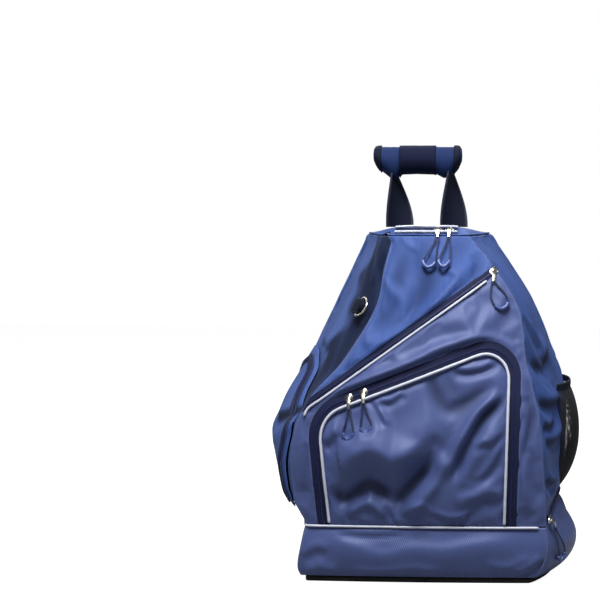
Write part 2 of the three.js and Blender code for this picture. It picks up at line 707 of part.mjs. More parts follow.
const POUCH = { back: 0.08, front: 0.94, low: 0.06, high: 0.58, highFront: 0.36 };
const POUCH_LIFT = CLOTH + 3 * SEAM;
const eased = (t) => (1 - Math.cos(Math.PI * t)) / 2;
const pouchPoint = (u, v) => {
  const across = POUCH.back + (POUCH.front - POUCH.back) * eased(u);
  const top = POUCH.high - (POUCH.high - POUCH.highFront) * eased(u) ** 2;
  const up = POUCH.low + (top - POUCH.low) * eased(v);
  const hump = (t) => 4 * eased(t) * (1 - eased(t));
  const swell = POUCH_BULGE * hump(u) ** 0.45 * hump(v) ** 0.6;
  return wallPoint("left", across, BASE_HEIGHT + up * WALL_HEIGHT, POUCH_LIFT + swell);
};
add("left_pouch", sheet(pouchPoint, 8, 8), "twill");

// Its zip runs up the pouch's front side, over the top and down the back.
const POUCH_ZIP = [
  [0.86, 0.14], [0.86, 0.3], [0.86, 0.45], [0.86, 0.6], [0.84, 0.74], [0.74, 0.84],
  [0.6, 0.87], [0.45, 0.87], [0.3, 0.85], [0.17, 0.77], [0.14, 0.6], [0.14, 0.4], [0.14, 0.2],
];
const POUCH_TAPE_LIFT = 1.6;
const pouchZipRows = POUCH_ZIP.map(([u, v], i) => ({ at: i / (POUCH_ZIP.length - 1), u, v }));
const pouchZip = (along, across) => {
  const spotAt = (t) => pouchPoint(read(pouchZipRows, "at", "u", t), read(pouchZipRows, "at", "v", t));
  const step = 0.02;
  const run = spotAt(Math.min(along + step, 1)).sub(spotAt(Math.max(along - step, 0))).normalize();
  const u = read(pouchZipRows, "at", "u", along);
  const v = read(pouchZipRows, "at", "v", along);
  const out = normalAt(pouchPoint, u, v);
  const side = out.clone().cross(run).normalize();
  const middle = spotAt(along).addScaledVector(out, POUCH_TAPE_LIFT);
  return middle.addScaledVector(side, (0.5 - across) * POUCH_TAPE_WIDTH);
};
add("left_pouch_zip_tape", sheet(pouchZip, 20, 1, TAPE), "tape");

// Net pocket on the right side

const NET_POCKET = { front: 0.36, back: 0.93, high: 0.475 };
const NET_LIFT = NET + SEAM;
const netLow = (s) => doorTop(s) + DOOR_TAPE_WIDTH + 10 * SEAM;
const netPoint = (u, v) => {
  const s = NET_POCKET.front + (NET_POCKET.back - NET_POCKET.front) * eased(u);
  const high = BASE_HEIGHT + NET_POCKET.high * WALL_HEIGHT - NET_BINDING_HEIGHT;
  const z = netLow(s) + v * (high - netLow(s));
  const side = (4 * eased(u) * (1 - eased(u))) ** 0.6;
  const belly = NET_BULGE * Math.sin(Math.PI * v ** 0.8) ** 0.8 + NET_MOUTH * v ** 2;
  return wallPoint("right", s, z, NET_LIFT + side * belly);
};
add("net_pocket", sheet(netPoint, 8, 7, NET), "net");
const netRim = (u, v) => {
  const p = netPoint(u, 1);
  p.z += SEAM + v * NET_BINDING_HEIGHT;
  return p.addScaledVector(normalAt(netPoint, u, 1).setZ(0).normalize(), NET_BINDING - NET);
};
add("net_pocket_binding", sheet(netRim, 8, 1, NET_BINDING), "webbing");

// Grab handle

// along: share of the grip's half length. high, low: shares of its height over its middle.
// deep: share of its depth.
const GRIP_SECTIONS = table(
  ["along", "high", "low", "deep"],
  [-1.0, 0.46, -0.08, 0.86],
  [-0.9, 0.5, -0.3, 0.96],
  [-0.62, 0.5, -0.66, 0.9],
  [-0.5, 0.5, -0.72, 0.86],
  [-0.36, 0.5, -0.46, 0.94],
  [0.0, 0.5, -0.44, 1.0],
  [0.38, 0.5, -0.46, 0.94],
  [0.6, 0.5, -0.64, 0.86],
  [0.74, 0.5, -0.6, 0.9],
  [0.92, 0.5, -0.3, 0.96],
  [1.0, 0.46, -0.08, 0.86],
);
const GRIP_CENTRE = GRIP_TOP - GRIP_HEIGHT / 2;
function gripSize(column, along) {
  const next = Math.max(GRIP_SECTIONS.findIndex((row) => row.along >= along), 1);
  const [a, b] = [GRIP_SECTIONS[next - 1], GRIP_SECTIONS[next]];
  return THREE.MathUtils.mapLinear(along, a.along, b.along, a[column], b[column]);
}
function gripRing(along, grown = 0) {
  const high = gripSize("high", along) * GRIP_HEIGHT + grown;
  const low = gripSize("low", along) * GRIP_HEIGHT - grown;
  const deep = (gripSize("deep", along) * GRIP_DEPTH) / 2 + grown;
  const rim = 10;
  return Array.from({ length: rim }, (_, i) => {
    const turn = (i / rim) * 2 * Math.PI;
    const z = (high + low) / 2 + ((high - low) / 2) * Math.sin(turn);
    const x = GRIP_MIDDLE + (along * GRIP_LENGTH) / 2;
    return new THREE.Vector3(x, HANDLE_SETBACK + deep * Math.cos(turn), GRIP_CENTRE + z);
  });
}
const gripBody = (from, to, grown) => {
  const inside = GRIP_SECTIONS.filter(({ along }) => along > from + SMALL && along < to - SMALL);
  return loft([from, ...inside.map(({ along }) => along), to].map((along) => gripRing(along, grown)));
};
const grip = gripBody(-1, 1, 0);
const shell = (from, to, thickness) =>
  gripBody(from, to, thickness + GRIP_CLEARANCE).subtract(gripBody(from - SMALL, to + SMALL, GRIP_CLEARANCE));
const bindingShare = (2 * BINDING_WIDTH) / GRIP_LENGTH;
const bandShare = GRIP_BAND_LENGTH / GRIP_LENGTH;
add("handle_grip", grip, "twill");
add("handle_grip_wrap", shell(-bandShare, bandShare, GRIP_BAND), "webbing");
add("handle_grip_binding_left", shell(-0.985, -0.985 + bindingShare, BINDING), "webbing");
add("handle_grip_binding_right", shell(0.985 - bindingShare, 0.985, BINDING), "webbing");

// Each end of the webbing stands on the top, faces forward there and is turned edge on at the grip.
function handleStrap(name, { foot: footX, grip: gripX }) {
  const foot = topSpot(footX, HANDLE_SETBACK, 0).z + 2 * SEAM;
  const share = (gripX - GRIP_MIDDLE) / (GRIP_LENGTH / 2);
  const top = GRIP_CENTRE + gripSize("low", share) * GRIP_HEIGHT - 2 * SEAM;
  const stations = 9;
  const rings = Array.from({ length: stations + 1 }, (_, i) => {
    const t = i / stations;
    const turn = (THREE.MathUtils.smoothstep(t, 0.25, 1) * 80 * Math.PI) / 180;
    const twist = Math.sign(footX - gripX || 1) * turn;
    const across = new THREE.Vector3(Math.cos(twist), Math.sin(twist), 0);
    const out = new THREE.Vector3(-Math.sin(twist), Math.cos(twist), 0);
    const at = new THREE.Vector3(
      THREE.MathUtils.lerp(footX, gripX, THREE.MathUtils.smoothstep(t, 0, 1)),
      HANDLE_SETBACK,
      THREE.MathUtils.lerp(foot, top, t),
    );
    return { at: at.addScaledVector(out, -WEBBING / 2), across, out, share: 1 - 0.28 * t ** 3 };
  });
  add(name, band(rings, WEBBING_WIDTH, WEBBING), "webbing");
}
handleStrap("handle_webbing_left", HANDLE_LEFT);
handleStrap("handle_webbing_right", HANDLE_RIGHT);

// Zip sliders with their cord pulls. A plate hangs from the slider to its eye; the cord runs down
// from the eye, through a bent sleeve and back up to the eye.

// at: the slider's place on its zip, as x in millimetres, or a share of the door's arch.
// A route is the cord's loop from the eye and back to it, as [x, drop, away] in millimetres:
// x to the right, drop below the eye, away from the wall.
const PULLS = table(
  ["name", "zip", "at"],
  ["top_left", "top", 12],
  ["top_right", "top", 27],
  ["slanted", "slanted", 87],
  ["arched_left", "arched", -99],
  ["arched_right", "arched", -80],
  ["end_door", "door", 0.035],
);

const PULL_ROUTES = {
  top_left: [
    [-1.7, 1, 3.8], [-5, 9, 2.2], [-10, 18, 2], [-15.5, 26, 1.6], [-18, 33, 1.4], [-12, 39.5, 1.4],
    [-4.5, 36.5, 1.4], [-1.5, 29, 1.6], [-0.5, 19, 2], [0.6, 9, 2.2], [1.7, 1, 3.8],
  ],
  top_right: [
    [-1.7, 1, 3.8], [-3.5, 9, 4], [-7, 18, 5], [-11, 27, 5.5], [-11.5, 34, 5.8], [-6, 38.5, 5.8],
    [0.2, 34, 5.6], [2.6, 27, 5.2], [2.5, 18, 4.6], [2, 9, 3.8], [1.7, 1, 3.8],
  ],
  slanted: [
    [-1.7, 1, 3.8], [-3, 8, 2.4], [-4, 16, 2], [-2, 24.5, 1.6], [2.5, 32, 1.4], [9.5, 36.5, 1.4],
    [17, 33, 1.4], [19, 25, 1.6], [14.5, 16, 2], [7, 8, 2.4], [1.7, 1, 3.8],
  ],
  arched_left: [
    [-1.7, 1, 3.8], [-2, 9, 2.6], [-3.5, 19, 2], [-6.5, 28, 1.6], [-6.5, 36, 1.4], [-1.5, 41, 1.4],
    [4, 38, 1.4], [6, 30, 1.6], [4.5, 19, 2], [3, 9, 2.6], [1.7, 1, 3.8],
  ],
  arched_right: [
    [-1.7, 1, 3.8], [-1.8, 9, 2.6], [-2, 19, 2], [-3, 27, 1.6], [-2.5, 35, 1.4], [3, 40, 1.4],
    [9, 36, 1.4], [10.5, 28, 1.6], [7.5, 19, 2], [4, 9, 2.6], [1.7, 1, 3.8],
  ],
  end_door: [
    [-1.7, 1, 3.8], [-1, 9, 2], [0.5, 19, 1.6], [3.5, 32, 1.4], [8.5, 43, 1.4], [15, 48, 1.4],
    [19.5, 43, 1.4], [17.5, 32, 1.4], [11, 20, 1.6], [5.5, 9, 2], [1.7, 1, 3.8],
  ],
};
const EYE_DROP = 11; // from a slider's middle down to its cord's eye
const PLATE_WIDTH = 4.6;
const PLATE = 1.2;
const PLATE_BEND = 1.2;
const SLIDER_FLOOR = SEAM - TAPE_DEPTH; // a slider stands on the sunk tape
const TOP_PLATE_BEND = 6; // over the piping in front of the zip
const PULL_CLEAR = PULL_CORD / 2 + SLEEVE_CLEARANCE + SLEEVE_WALL + SEAM;

// Places on the bag that a pull needs: its slider's seat, its cord's eye and the points below the eye.
const zipPlaces = {
  top: (x) => {
    const seat = topSpot(x, topFrontEdge(x) + TOP_ZIP_SETBACK + TOP_ZIP_WIDTH * 0.45, 0);
    const out = new THREE.Vector3(0, -0.3, 0.95);
    const beside = (right, drop, away) => frontSpot(x + right, WALL_HIGH - drop, away);
    return { seat, out, along: new THREE.Vector3(1, 0, 0), beside, bend: TOP_PLATE_BEND };
  },
  slanted: (x) => onFront(x, slantMiddle, slantEnd, spot(SLANT_LOW)),
  arched: (x) => onFront(x, archPath(ARCH_TAPE_WIDTH / 2), archRun[ARC_PIECES + 2], archRun[ARC_PIECES + 1]),
  door: (s) => {
    const seat = doorZipSpot(s, DOOR_TAPE_WIDTH / 2, DOOR_TAPE_LIFT);
    const ahead = doorZipSpot(s + 0.02, DOOR_TAPE_WIDTH / 2, DOOR_TAPE_LIFT);
    const side = doorZipSpot(s, 0, DOOR_TAPE_LIFT);
    const along = ahead.sub(seat).normalize();
    const out = side.sub(seat).cross(along).normalize();
    const length = wallLength("right", BASE_HEIGHT);
    const beside = (right, drop, away) => doorSpot(s + (right + 4) / length, seat.z - EYE_DROP - drop, away);
    return { seat, out, along, beside, floor: SEAM };
  },
};

// The middle line of the slanted zip's tape.
const slantMiddle = [spot(SLANT_LOW), slantEnd].map((p) => ({ x: p.x, z: slantHeight(p.x, SLANT_TAPE_WIDTH / 2) }));

// A slider's place on the front, where a zip's middle line crosses x. from and to give the line's direction.
function onFront(x, line, from, to) {
  const next = Math.max(line.findIndex((p) => p.x >= x), 1);
  const z = THREE.MathUtils.mapLinear(x, line[next - 1].x, line[next].x, line[next - 1].z, line[next].z);
  const seat = frontSpot(x, z);
  const out = frontNormal(x, z);
  const along = frontSpot(to.x, to.z).sub(frontSpot(from.x, from.z)).projectOnPlane(out).normalize();
  return { seat, out, along, beside: (right, drop, away) => frontSpot(x + right, z - EYE_DROP - drop, away) };
}

function frontNormal(x, z) {
  const step = 6;
  const across = frontSpot(x + step, z).sub(frontSpot(x - step, z));
  const up = frontSpot(x, z + step).sub(frontSpot(x, z - step));
  return across.cross(up).normalize();
}

const CORD_STEPS = 16;
const CORD_RIM = 6;
const SLEEVE_STATIONS = [6, 10];
const SLEEVE_RIM = 6;

// A low wedge on the zip, a bridge over it and the plate that hangs from the bridge.
function sliderAt({ seat, out, along, bend = PLATE_BEND, floor = SLIDER_FLOOR }, eye) {
  const across = out.clone().cross(along).normalize();
  const station = (t, share, rise) => ({
    at: seat.clone().addScaledVector(along, t * SLIDER_LENGTH).addScaledVector(out, rise),
    across,
    out,
    share,
  });
  const half = SLIDER_HEIGHT / 2;
  const wedge = [station(-0.5, 0.7, floor), station(-0.1, 1, floor), station(0.5, 1, floor)];
  const body = band(wedge, SLIDER_WIDTH, half);
  const bridgeFloor = floor + half - SEAM;
  const bridgeEnds = [station(-0.3, 0.35, bridgeFloor), station(0.3, 0.35, bridgeFloor)];
  const bridge = band(bridgeEnds, SLIDER_WIDTH, half);
  const crown = seat.clone().addScaledVector(out, bridgeFloor + half - PLATE / 2);
  const reach = eye.clone().sub(crown);
  const bent = crown.clone().lerp(eye, 0.5).addScaledVector(out, bend);
  const side = reach.clone().cross(out).normalize();
  const plateOut = side.clone().cross(reach).normalize();
  const end = eye.clone().addScaledVector(reach.clone().normalize(), PLATE_WIDTH / 2);
  const plateStations = [crown, bent, end].map((at) => ({ at, across: side, out: plateOut }));
  const plate = band(plateStations, PLATE_WIDTH, PLATE);
  return wasm.Manifold.union([body, bridge, plate]);
}

for (const { name, zip, at } of PULLS) {
  const route = PULL_ROUTES[name];
  const place = zipPlaces[zip](at);
  const points = route.map(([right, drop, away]) => place.beside(right, drop, PULL_CLEAR + away));
  const eye = place.beside(0, 0, PULL_CLEAR + route[0][2]);
  const stations = stationsOn(new THREE.CatmullRomCurve3(points, false, "centripetal"), CORD_STEPS);
  const [first, last] = SLEEVE_STATIONS;
  const bore = PULL_CORD / 2 + SLEEVE_CLEARANCE;
  const outside = tubeThrough(stations.slice(first, last + 1), bore + SLEEVE_WALL, SLEEVE_RIM);
  const inside = tubeThrough(stations.slice(first - 1, last + 2), bore, SLEEVE_RIM);
  const cord = tubeThrough(stations, PULL_CORD / 2, CORD_RIM);
  const cordRoom = tubeThrough(stations, bore, CORD_RIM);
  add(`${name}_zip_slider`, sliderAt(place, eye).subtract(cordRoom), "metal");
  add(`${name}_pull_cord`, cord, "cord");
  add(`${name}_pull_sleeve`, outside.subtract(inside), "plastic");
}

// D-ring on a tab that is sewn to the left side and points forward over the hollow beside the front seam

const RING_ACROSS = 0.77; // place of the tab's sewn end on the left wall
const RING_UP = 0.75;
const ringSpot = (z) => wallPoint("left", RING_ACROSS, z, RING_WIRE / 2 + CLOTH + 2 * SEAM);
const ringStep = WALL_HEIGHT * 0.03;
const tabStart = ringSpot(BASE_HEIGHT + RING_UP * WALL_HEIGHT);
const ringAlong = ringSpot(tabStart.z + ringStep)
  .sub(ringSpot(tabStart.z - ringStep))
  .normalize();
const ringOut = new THREE.Vector3(0.55, -0.83, 0).projectOnPlane(ringAlong).normalize();
const ringSide = ringAlong.clone().cross(ringOut).normalize();
const ringCentre = tabStart.clone().addScaledVector(ringOut, TAB_LENGTH * 0.4);
const RING_ARC = 14;
const ringPoints = [];
for (let i = 0; i <= RING_ARC; i++) {
  const turn = -Math.PI / 2 + (Math.PI * i) / RING_ARC;
  ringPoints.push(
    ringCentre
      .clone()
      .addScaledVector(ringAlong, ((RING_WIDTH - RING_WIRE) / 2) * Math.sin(turn))
      .addScaledVector(ringOut, RING_WIRE + (RING_REACH - RING_WIRE) * Math.cos(turn)),
  );
}
const RING_RIM = 6;
function ringSolid(radius) {
  const closed = new THREE.CatmullRomCurve3(ringPoints, true);
  const steps = 18;
  const frames = closed.computeFrenetFrames(steps, true);
  const vertices = [];
  const triangles = [];
  for (let k = 0; k < steps; k++) {
    const middle = closed.getPointAt(k / steps);
    for (let i = 0; i < RING_RIM; i++) {
      const turn = (i / RING_RIM) * 2 * Math.PI;
      vertices.push(
        middle
          .clone()
          .addScaledVector(frames.normals[k], radius * Math.cos(turn))
          .addScaledVector(frames.binormals[k], radius * Math.sin(turn)),
      );
      const [a, b] = [k * RING_RIM + i, k * RING_RIM + ((i + 1) % RING_RIM)];
      const next = ((k + 1) % steps) * RING_RIM;
      triangles.push([a, b, next + ((i + 1) % RING_RIM)], [a, next + ((i + 1) % RING_RIM), next + i]);
    }
  }
  return toSolid(vertices, triangles);
}
const ringRoom = ringSolid(RING_WIRE / 2 + SEAM);
const tab = band(
  [0, TAB_LENGTH * 0.75].map((reach) => ({
    at: tabStart.clone().addScaledVector(ringOut, reach).addScaledVector(ringSide, -RING_WIRE / 2 - CLOTH),
    across: ringAlong,
    out: ringSide,
  })),
  TAB_WIDTH,
  RING_WIRE + 2 * CLOTH,
);
add("d_ring", ringSolid(RING_WIRE / 2), "metal");
add("d_ring_tab", tab.subtract(ringRoom), "webbing");

// Shoulder straps on the back: a padded strap from the top to a buckle, and webbing from there to the base.

// across: share of half the waist width. z: share of the wall height. away: out from the back.
const STRAP_ROUTE = table(
  ["across", "up", "away", "share"],
  [0.22, 0.94, -1.1, 0.75],
  [0.27, 0.86, 18, 0.9],
  [0.33, 0.74, 33, 1],
  [0.4, 0.6, 42, 1],
  [0.48, 0.46, 42, 1],
  [0.56, 0.34, 34, 0.85],
  [0.6, 0.27, 28, 0.6],
);
const STRAP_TAIL = table(
  ["across", "up", "away", "share"],
  [0.62, 0.23, 25, 1],
  [0.68, 0.15, 17, 1],
  [0.78, 0.07, 8, 1],
  [0.84, 0.03, 1.4, 1],
);
function backSpot(side, { across, up, away }, clear) {
  const z = BASE_HEIGHT + up * WALL_HEIGHT;
  const right = wallPoint("back", 0, z).x;
  const left = wallPoint("back", 1, z).x;
  const s = (side * across * HALF_WIDTH - right) / (left - right);
  return wallPoint("back", THREE.MathUtils.clamp(s, 0.02, 0.98), z, away + clear);
}
function strapStations(side, rows, clear) {
  const points = rows.map((row) => backSpot(side, row, clear));
  return rows.map((row, i) => {
    const next = points[Math.min(i + 1, rows.length - 1)];
    const along = next.clone().sub(points[Math.max(i - 1, 0)]).normalize();
    const across = new THREE.Vector3(1, 0, 0).projectOnPlane(along).normalize();
    const out = across.clone().cross(along).normalize();
    return { at: points[i], across, out, share: row.share };
  });
}
// A padded strap's section: a flat oval.
function paddedStrap(stations) {
  const rim = 10;
  return loft(
    stations.map(({ at, across, out, share }) =>
      Array.from({ length: rim }, (_, i) => {
        const turn = (i / rim) * 2 * Math.PI;
        const [x, y] = [Math.cos(turn), Math.sin(turn)];
        return at
          .clone()
          .addScaledVector(across, (Math.sign(x) * Math.abs(x) ** 0.6 * STRAP_WIDTH * share) / 2)
          .addScaledVector(out, ((Math.sign(y) * Math.abs(y) ** 0.8 + 1) * STRAP_PADDING) / 2);
      }),
    ),
  );
}
// A ladder buckle: a plate with two slots, hooked on the strap's end over the webbing.
function buckleAt(start, next) {
  const down = next.at.clone().sub(start.at).normalize();
  const plane = (along, width, length, thickness) => {
    const rise = WEBBING + SEAM + (BUCKLE_THICKNESS - thickness) / 2;
    const middle = start.at.clone().addScaledVector(start.out, rise);
    const ends = [along - length / 2, along + length / 2];
    const stations = ends.map((t) => ({
      at: middle.clone().addScaledVector(down, t + BUCKLE_DROP),
      across: start.across,
      out: start.out,
    }));
    return band(stations, width, thickness);
  };
  const slot = (along) => plane(along, STRAP_WEBBING_WIDTH + 2, BUCKLE_SLOT, 2 * BUCKLE_THICKNESS);
  return plane(0, BUCKLE_WIDTH, BUCKLE_LENGTH, BUCKLE_THICKNESS)
    .subtract(slot(-BUCKLE_LENGTH / 4))
    .subtract(slot(BUCKLE_LENGTH / 4));
}

for (const [label, side] of [["left", -1], ["right", 1]]) {
  const padded = strapStations(side, STRAP_ROUTE, CLOTH);
  add(`shoulder_strap_${label}`, paddedStrap(padded), "twill");
  const tail = strapStations(side, STRAP_TAIL, CLOTH);
  add(`shoulder_webbing_${label}`, band(tail, STRAP_WEBBING_WIDTH, WEBBING), "webbing");
  add(`strap_buckle_${label}`, buckleAt(tail[0], tail[1]), "buckle");
}

export default root;
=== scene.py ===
import math

import bpy
import numpy as np
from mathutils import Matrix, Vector
from mathutils.geometry import delaunay_2d_cdt


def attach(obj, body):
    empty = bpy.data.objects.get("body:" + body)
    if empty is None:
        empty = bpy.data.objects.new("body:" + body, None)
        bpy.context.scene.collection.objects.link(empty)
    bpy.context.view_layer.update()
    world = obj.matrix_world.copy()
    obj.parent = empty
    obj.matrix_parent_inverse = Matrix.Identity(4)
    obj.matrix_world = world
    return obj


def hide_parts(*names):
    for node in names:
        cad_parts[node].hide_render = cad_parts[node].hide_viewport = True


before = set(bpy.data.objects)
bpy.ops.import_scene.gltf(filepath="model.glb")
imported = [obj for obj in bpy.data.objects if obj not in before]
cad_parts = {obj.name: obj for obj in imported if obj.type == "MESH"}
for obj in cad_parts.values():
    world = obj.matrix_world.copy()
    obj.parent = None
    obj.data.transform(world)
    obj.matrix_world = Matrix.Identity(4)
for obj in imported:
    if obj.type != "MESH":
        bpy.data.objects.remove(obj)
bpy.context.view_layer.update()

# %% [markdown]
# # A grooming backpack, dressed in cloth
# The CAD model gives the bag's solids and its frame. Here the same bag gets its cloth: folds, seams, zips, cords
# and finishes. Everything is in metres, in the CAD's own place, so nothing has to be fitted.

MM = 0.001

# %% [markdown]
# ## The camera
# A product photograph is taken from far away with a long lens, so that the bag's sides stay nearly parallel. The
# bag stands right of the middle of the picture. A shift of the lens moves it there and leaves the view straight.

# %% Camera
PICTURE = 600  # pixels, both ways
BAG_IN_PICTURE = (427, 365)  # the pixel that the camera's target falls on
SENSOR = 36  # millimetres, as a lens is given
TARGET = Vector((-0.004, 0, 0.277))
VIEW_DISTANCE = 2.3
VIEW_AZIMUTH = math.radians(3)
VIEW_ELEVATION = math.radians(6)
METRES_PER_PIXEL = 0.00136  # at the target


def view_direction(azimuth, elevation):
    """From the target to the camera: azimuth 0 is the front."""
    flat = math.cos(elevation)
    return Vector((math.sin(azimuth) * flat, -math.cos(azimuth) * flat, math.sin(elevation)))


camera_data = bpy.data.cameras.new("camera")
camera = bpy.data.objects.new("camera", camera_data)
bpy.context.scene.collection.objects.link(camera)
towards = view_direction(VIEW_AZIMUTH, VIEW_ELEVATION)
camera.location = TARGET + towards * VIEW_DISTANCE
camera.rotation_euler = (-towards).to_track_quat("-Z", "Y").to_euler()
camera_data.sensor_width = SENSOR
camera_data.lens = VIEW_DISTANCE / METRES_PER_PIXEL / PICTURE * SENSOR
camera_data.shift_x = (PICTURE / 2 - BAG_IN_PICTURE[0]) / PICTURE
camera_data.shift_y = (BAG_IN_PICTURE[1] - PICTURE / 2) / PICTURE
bpy.context.scene.camera = camera
print("lens of", round(camera_data.lens, 1), "mm")

# %% [markdown]
# ## The bag's form
# A soft bag has no flat walls. Its four corner lines are curves, and each wall swells between two of them. The
# CAD gives the corner lines as rows at several heights, and the same rows are read here with a smooth cubic, so
# the cloth lies exactly where the solids are, at any density of points.

# %% Sizes of the form
WAIST_WIDTH = 316 * MM
DEPTH = 216 * MM
BASE_HEIGHT = 76 * MM
WALL_HEIGHT = 379 * MM
TOP_RISE = 9 * MM
CLOTH = 2 * MM
SEAM = 0.35 * MM
BODY_TOP = BASE_HEIGHT + WALL_HEIGHT
HALF_WIDTH = WAIST_WIDTH / 2
HALF_DEPTH = DEPTH / 2


def table(columns, *rows):
    """Rows as one array for each named column."""
    return {name: np.array([row[i] for row in rows]) for i, name in enumerate(columns)}


CORNERS = [
    "up", "frontLeft", "frontRight", "front", "backLeft", "backRight",
    "back", "bowFront", "bowRight", "bowBack", "bowLeft",
]
BODY = table(
    CORNERS,
    [0.0, -0.99, 1.0, -1.0, -1.04, 1.07, 1.0, 0.05, 0.05, 0.02, 0.05],
    [0.09, -1.08, 0.99, -1.03, -1.1, 1.1, 1.0, 0.1, 0.09, 0.03, 0.06],
    [0.27, -1.11, 0.96, -1.05, -1.16, 1.13, 0.98, 0.14, 0.13, 0.04, 0.07],
    [0.41, -1.01, 0.92, -1.01, -1.14, 1.13, 0.96, 0.14, 0.14, 0.04, 0.08],
    [0.56, -0.75, 0.83, -0.88, -1.07, 1.07, 0.92, 0.12, 0.12, 0.03, 0.08],
    [0.75, -0.48, 0.76, -0.69, -0.86, 0.89, 0.88, 0.1, 0.08, 0.02, 0.07],
    [0.88, -0.42, 0.57, -0.51, -0.71, 0.7, 0.85, 0.08, 0.06, 0.02, 0.05],
    [1.0, -0.35, 0.33, -0.25, -0.57, 0.5, 0.8, 0.05, 0.03, 0.01, 0.03],
)
BASE = table(
    CORNERS,
    [0.0, -1.02, 0.86, -0.96, -1.02, 0.96, 0.96, 0.02, 0.1, 0.02, 0.03],
    [0.25, -1.07, 0.95, -1.02, -1.06, 1.04, 1.0, 0.05, 0.12, 0.03, 0.04],
    [0.65, -1.04, 1.0, -1.04, -1.06, 1.07, 1.01, 0.06, 0.1, 0.03, 0.05],
    [1.0, -0.99, 1.0, -1.0, -1.04, 1.07, 1.0, 0.05, 0.05, 0.02, 0.05],
)
# The walls' broad dents, as shares: where across the wall and up it, how far they reach both ways, and how deep.
DENTS = {
    "left": [(0.9, 0.78, 0.09, 0.3, 0.13), (0.5, 0.52, 0.5, 0.05, 0.05)],
    "front": [
        (0.3, 0.9, 0.08, 0.2, 0.05), (0.48, 0.2, 0.16, 0.06, 0.06), (0.62, 0.34, 0.06, 0.12, 0.05),
        (0.3, 0.07, 0.2, 0.05, 0.05),
    ],
    "right": [(0.25, 0.6, 0.16, 0.05, 0.06), (0.2, 0.2, 0.2, 0.06, 0.05)],
    "back": [],
}
# Each wall's first corner, its second one and its swell: columns of the tables above.
WALLS = {
    "front": ("frontLeft", "front", "frontRight", "front", "bowFront"),
    "right": ("frontRight", "front", "backRight", "back", "bowRight"),
    "back": ("backRight", "back", "backLeft", "back", "bowBack"),
    "left": ("backLeft", "back", "frontLeft", "front", "bowLeft"),
}

# %% Reading the form


def read(rows, key, column, at):
    """One column of a table, read smoothly at any place."""
    x, y = rows[key], rows[column]
    last = len(x) - 1
    i = np.clip(np.searchsorted(x, at, side="right") - 1, 0, last - 1)
    marks = np.arange(last + 1)
    before, after = np.maximum(marks - 1, 0), np.minimum(marks + 1, last)
    slope = (y[after] - y[before]) / (x[after] - x[before])
    span = x[i + 1] - x[i]
    t = np.clip((at - x[i]) / span, 0, 1)
    p, q, a, b = y[i], y[i + 1], slope[i] * span, slope[i + 1] * span
    return p + a * t + (3 * (q - p) - 2 * a - b) * t**2 + (2 * (p - q) + a + b) * t**3


def dent(wall, s, up):
    total = np.zeros_like(s)
    for across, high, half_across, half_up, depth in DENTS[wall]:
        total += depth * np.exp(-(((s - across) / half_across) ** 2) - ((up - high) / half_up) ** 2)
    return total * HALF_DEPTH


def wall_point(wall, s, z, lift=0.0):
    """Points of a wall. s runs from its left corner to its right one, seen from outside. z is the height."""
    s, z, lift = (np.array(v, float) for v in np.broadcast_arrays(s, z, lift))
    in_base = z < BASE_HEIGHT
    up = np.where(in_base, z / BASE_HEIGHT, (z - BASE_HEIGHT) / WALL_HEIGHT)

    def either(column):
        return np.where(in_base, read(BASE, "up", column, up), read(BODY, "up", column, up))

    from_side, from_face, to_side, to_face, bow = WALLS[wall]
    ax, ay = either(from_side) * HALF_WIDTH, either(from_face) * HALF_DEPTH
    bx, by = either(to_side) * HALF_WIDTH, either(to_face) * HALF_DEPTH
    length = np.hypot(bx - ax, by - ay)
    out_x, out_y = (by - ay) / length, -(bx - ax) / length
    push = either(bow) * HALF_DEPTH * 4 * s * (1 - s) - np.where(in_base, 0, dent(wall, s, up)) + lift
    return np.stack([ax + (bx - ax) * s + out_x * push, ay + (by - ay) * s + out_y * push, z], -1)


def unit(vectors):
    return vectors / np.maximum(np.linalg.norm(vectors, axis=-1, keepdims=True), 1e-12)


def normal_at(point, u, v, step=0.004):
    """Unit normal of a surface point(u, v), outwards."""
    across = point(np.minimum(u + step, 1), v) - point(np.maximum(u - step, 0), v)
    up = point(u, np.minimum(v + step, 1)) - point(u, np.maximum(v - step, 0))
    return unit(np.cross(across, up))


def wall_length(wall, z):
    ends = wall_point(wall, np.array([0.0, 1.0]), z)
    return float(np.linalg.norm(ends[1] - ends[0]))


def front_share(x, z):
    """Where x falls on the front wall at height z, 0 to 1."""
    left, right = wall_point("front", 0.0, z)[..., 0], wall_point("front", 1.0, z)[..., 0]
    return (x - left) / (right - left)


def front_spot(x, z, lift=0.0):
    return wall_point("front", front_share(x, z), z, lift)


print("the front wall is", round(wall_length("front", BASE_HEIGHT), 3), "m wide at the waist")

# %% [markdown]
# ## Lines that the seams follow
# The front is cut by a slanted line and by an arch. The zips, their pipings and the cut edges of the cloth all
# follow these two lines, each at its own distance, so the lines come before the cloth.

# %% The slanted line and the arch
SLANT_TAPE_WIDTH = 9 * MM
ARCH_TAPE_WIDTH = 15 * MM
ARCH_LEFT_RADIUS = 42 * MM
ARCH_RIGHT_RADIUS = 30 * MM
SLANT_LOW = (-0.97, 0.41)  # shares of half the waist width and of the wall height
SLANT_HIGH = (0.56, 0.863)
SLANT_HOOK = (-1.0, 0.385)
SLANT_PIPING_END = 0.955
ARCH = [(-0.8, 0.0), (-0.88, 0.385), (0.69, 0.635), (0.65, 0.0)]
ARC_PIECES = 5


def spot(mark):
    return np.array([mark[0] * HALF_WIDTH, BASE_HEIGHT + mark[1] * WALL_HEIGHT])


def slant_height(x, moved=0.0):
    """The slanted line's height at x, once it is moved up by a distance across it."""
    low, high = spot(SLANT_LOW), spot(SLANT_HIGH)
    slope = (high[1] - low[1]) / (high[0] - low[0])
    return low[1] + (x - low[0]) * slope + moved * math.hypot(1, slope)


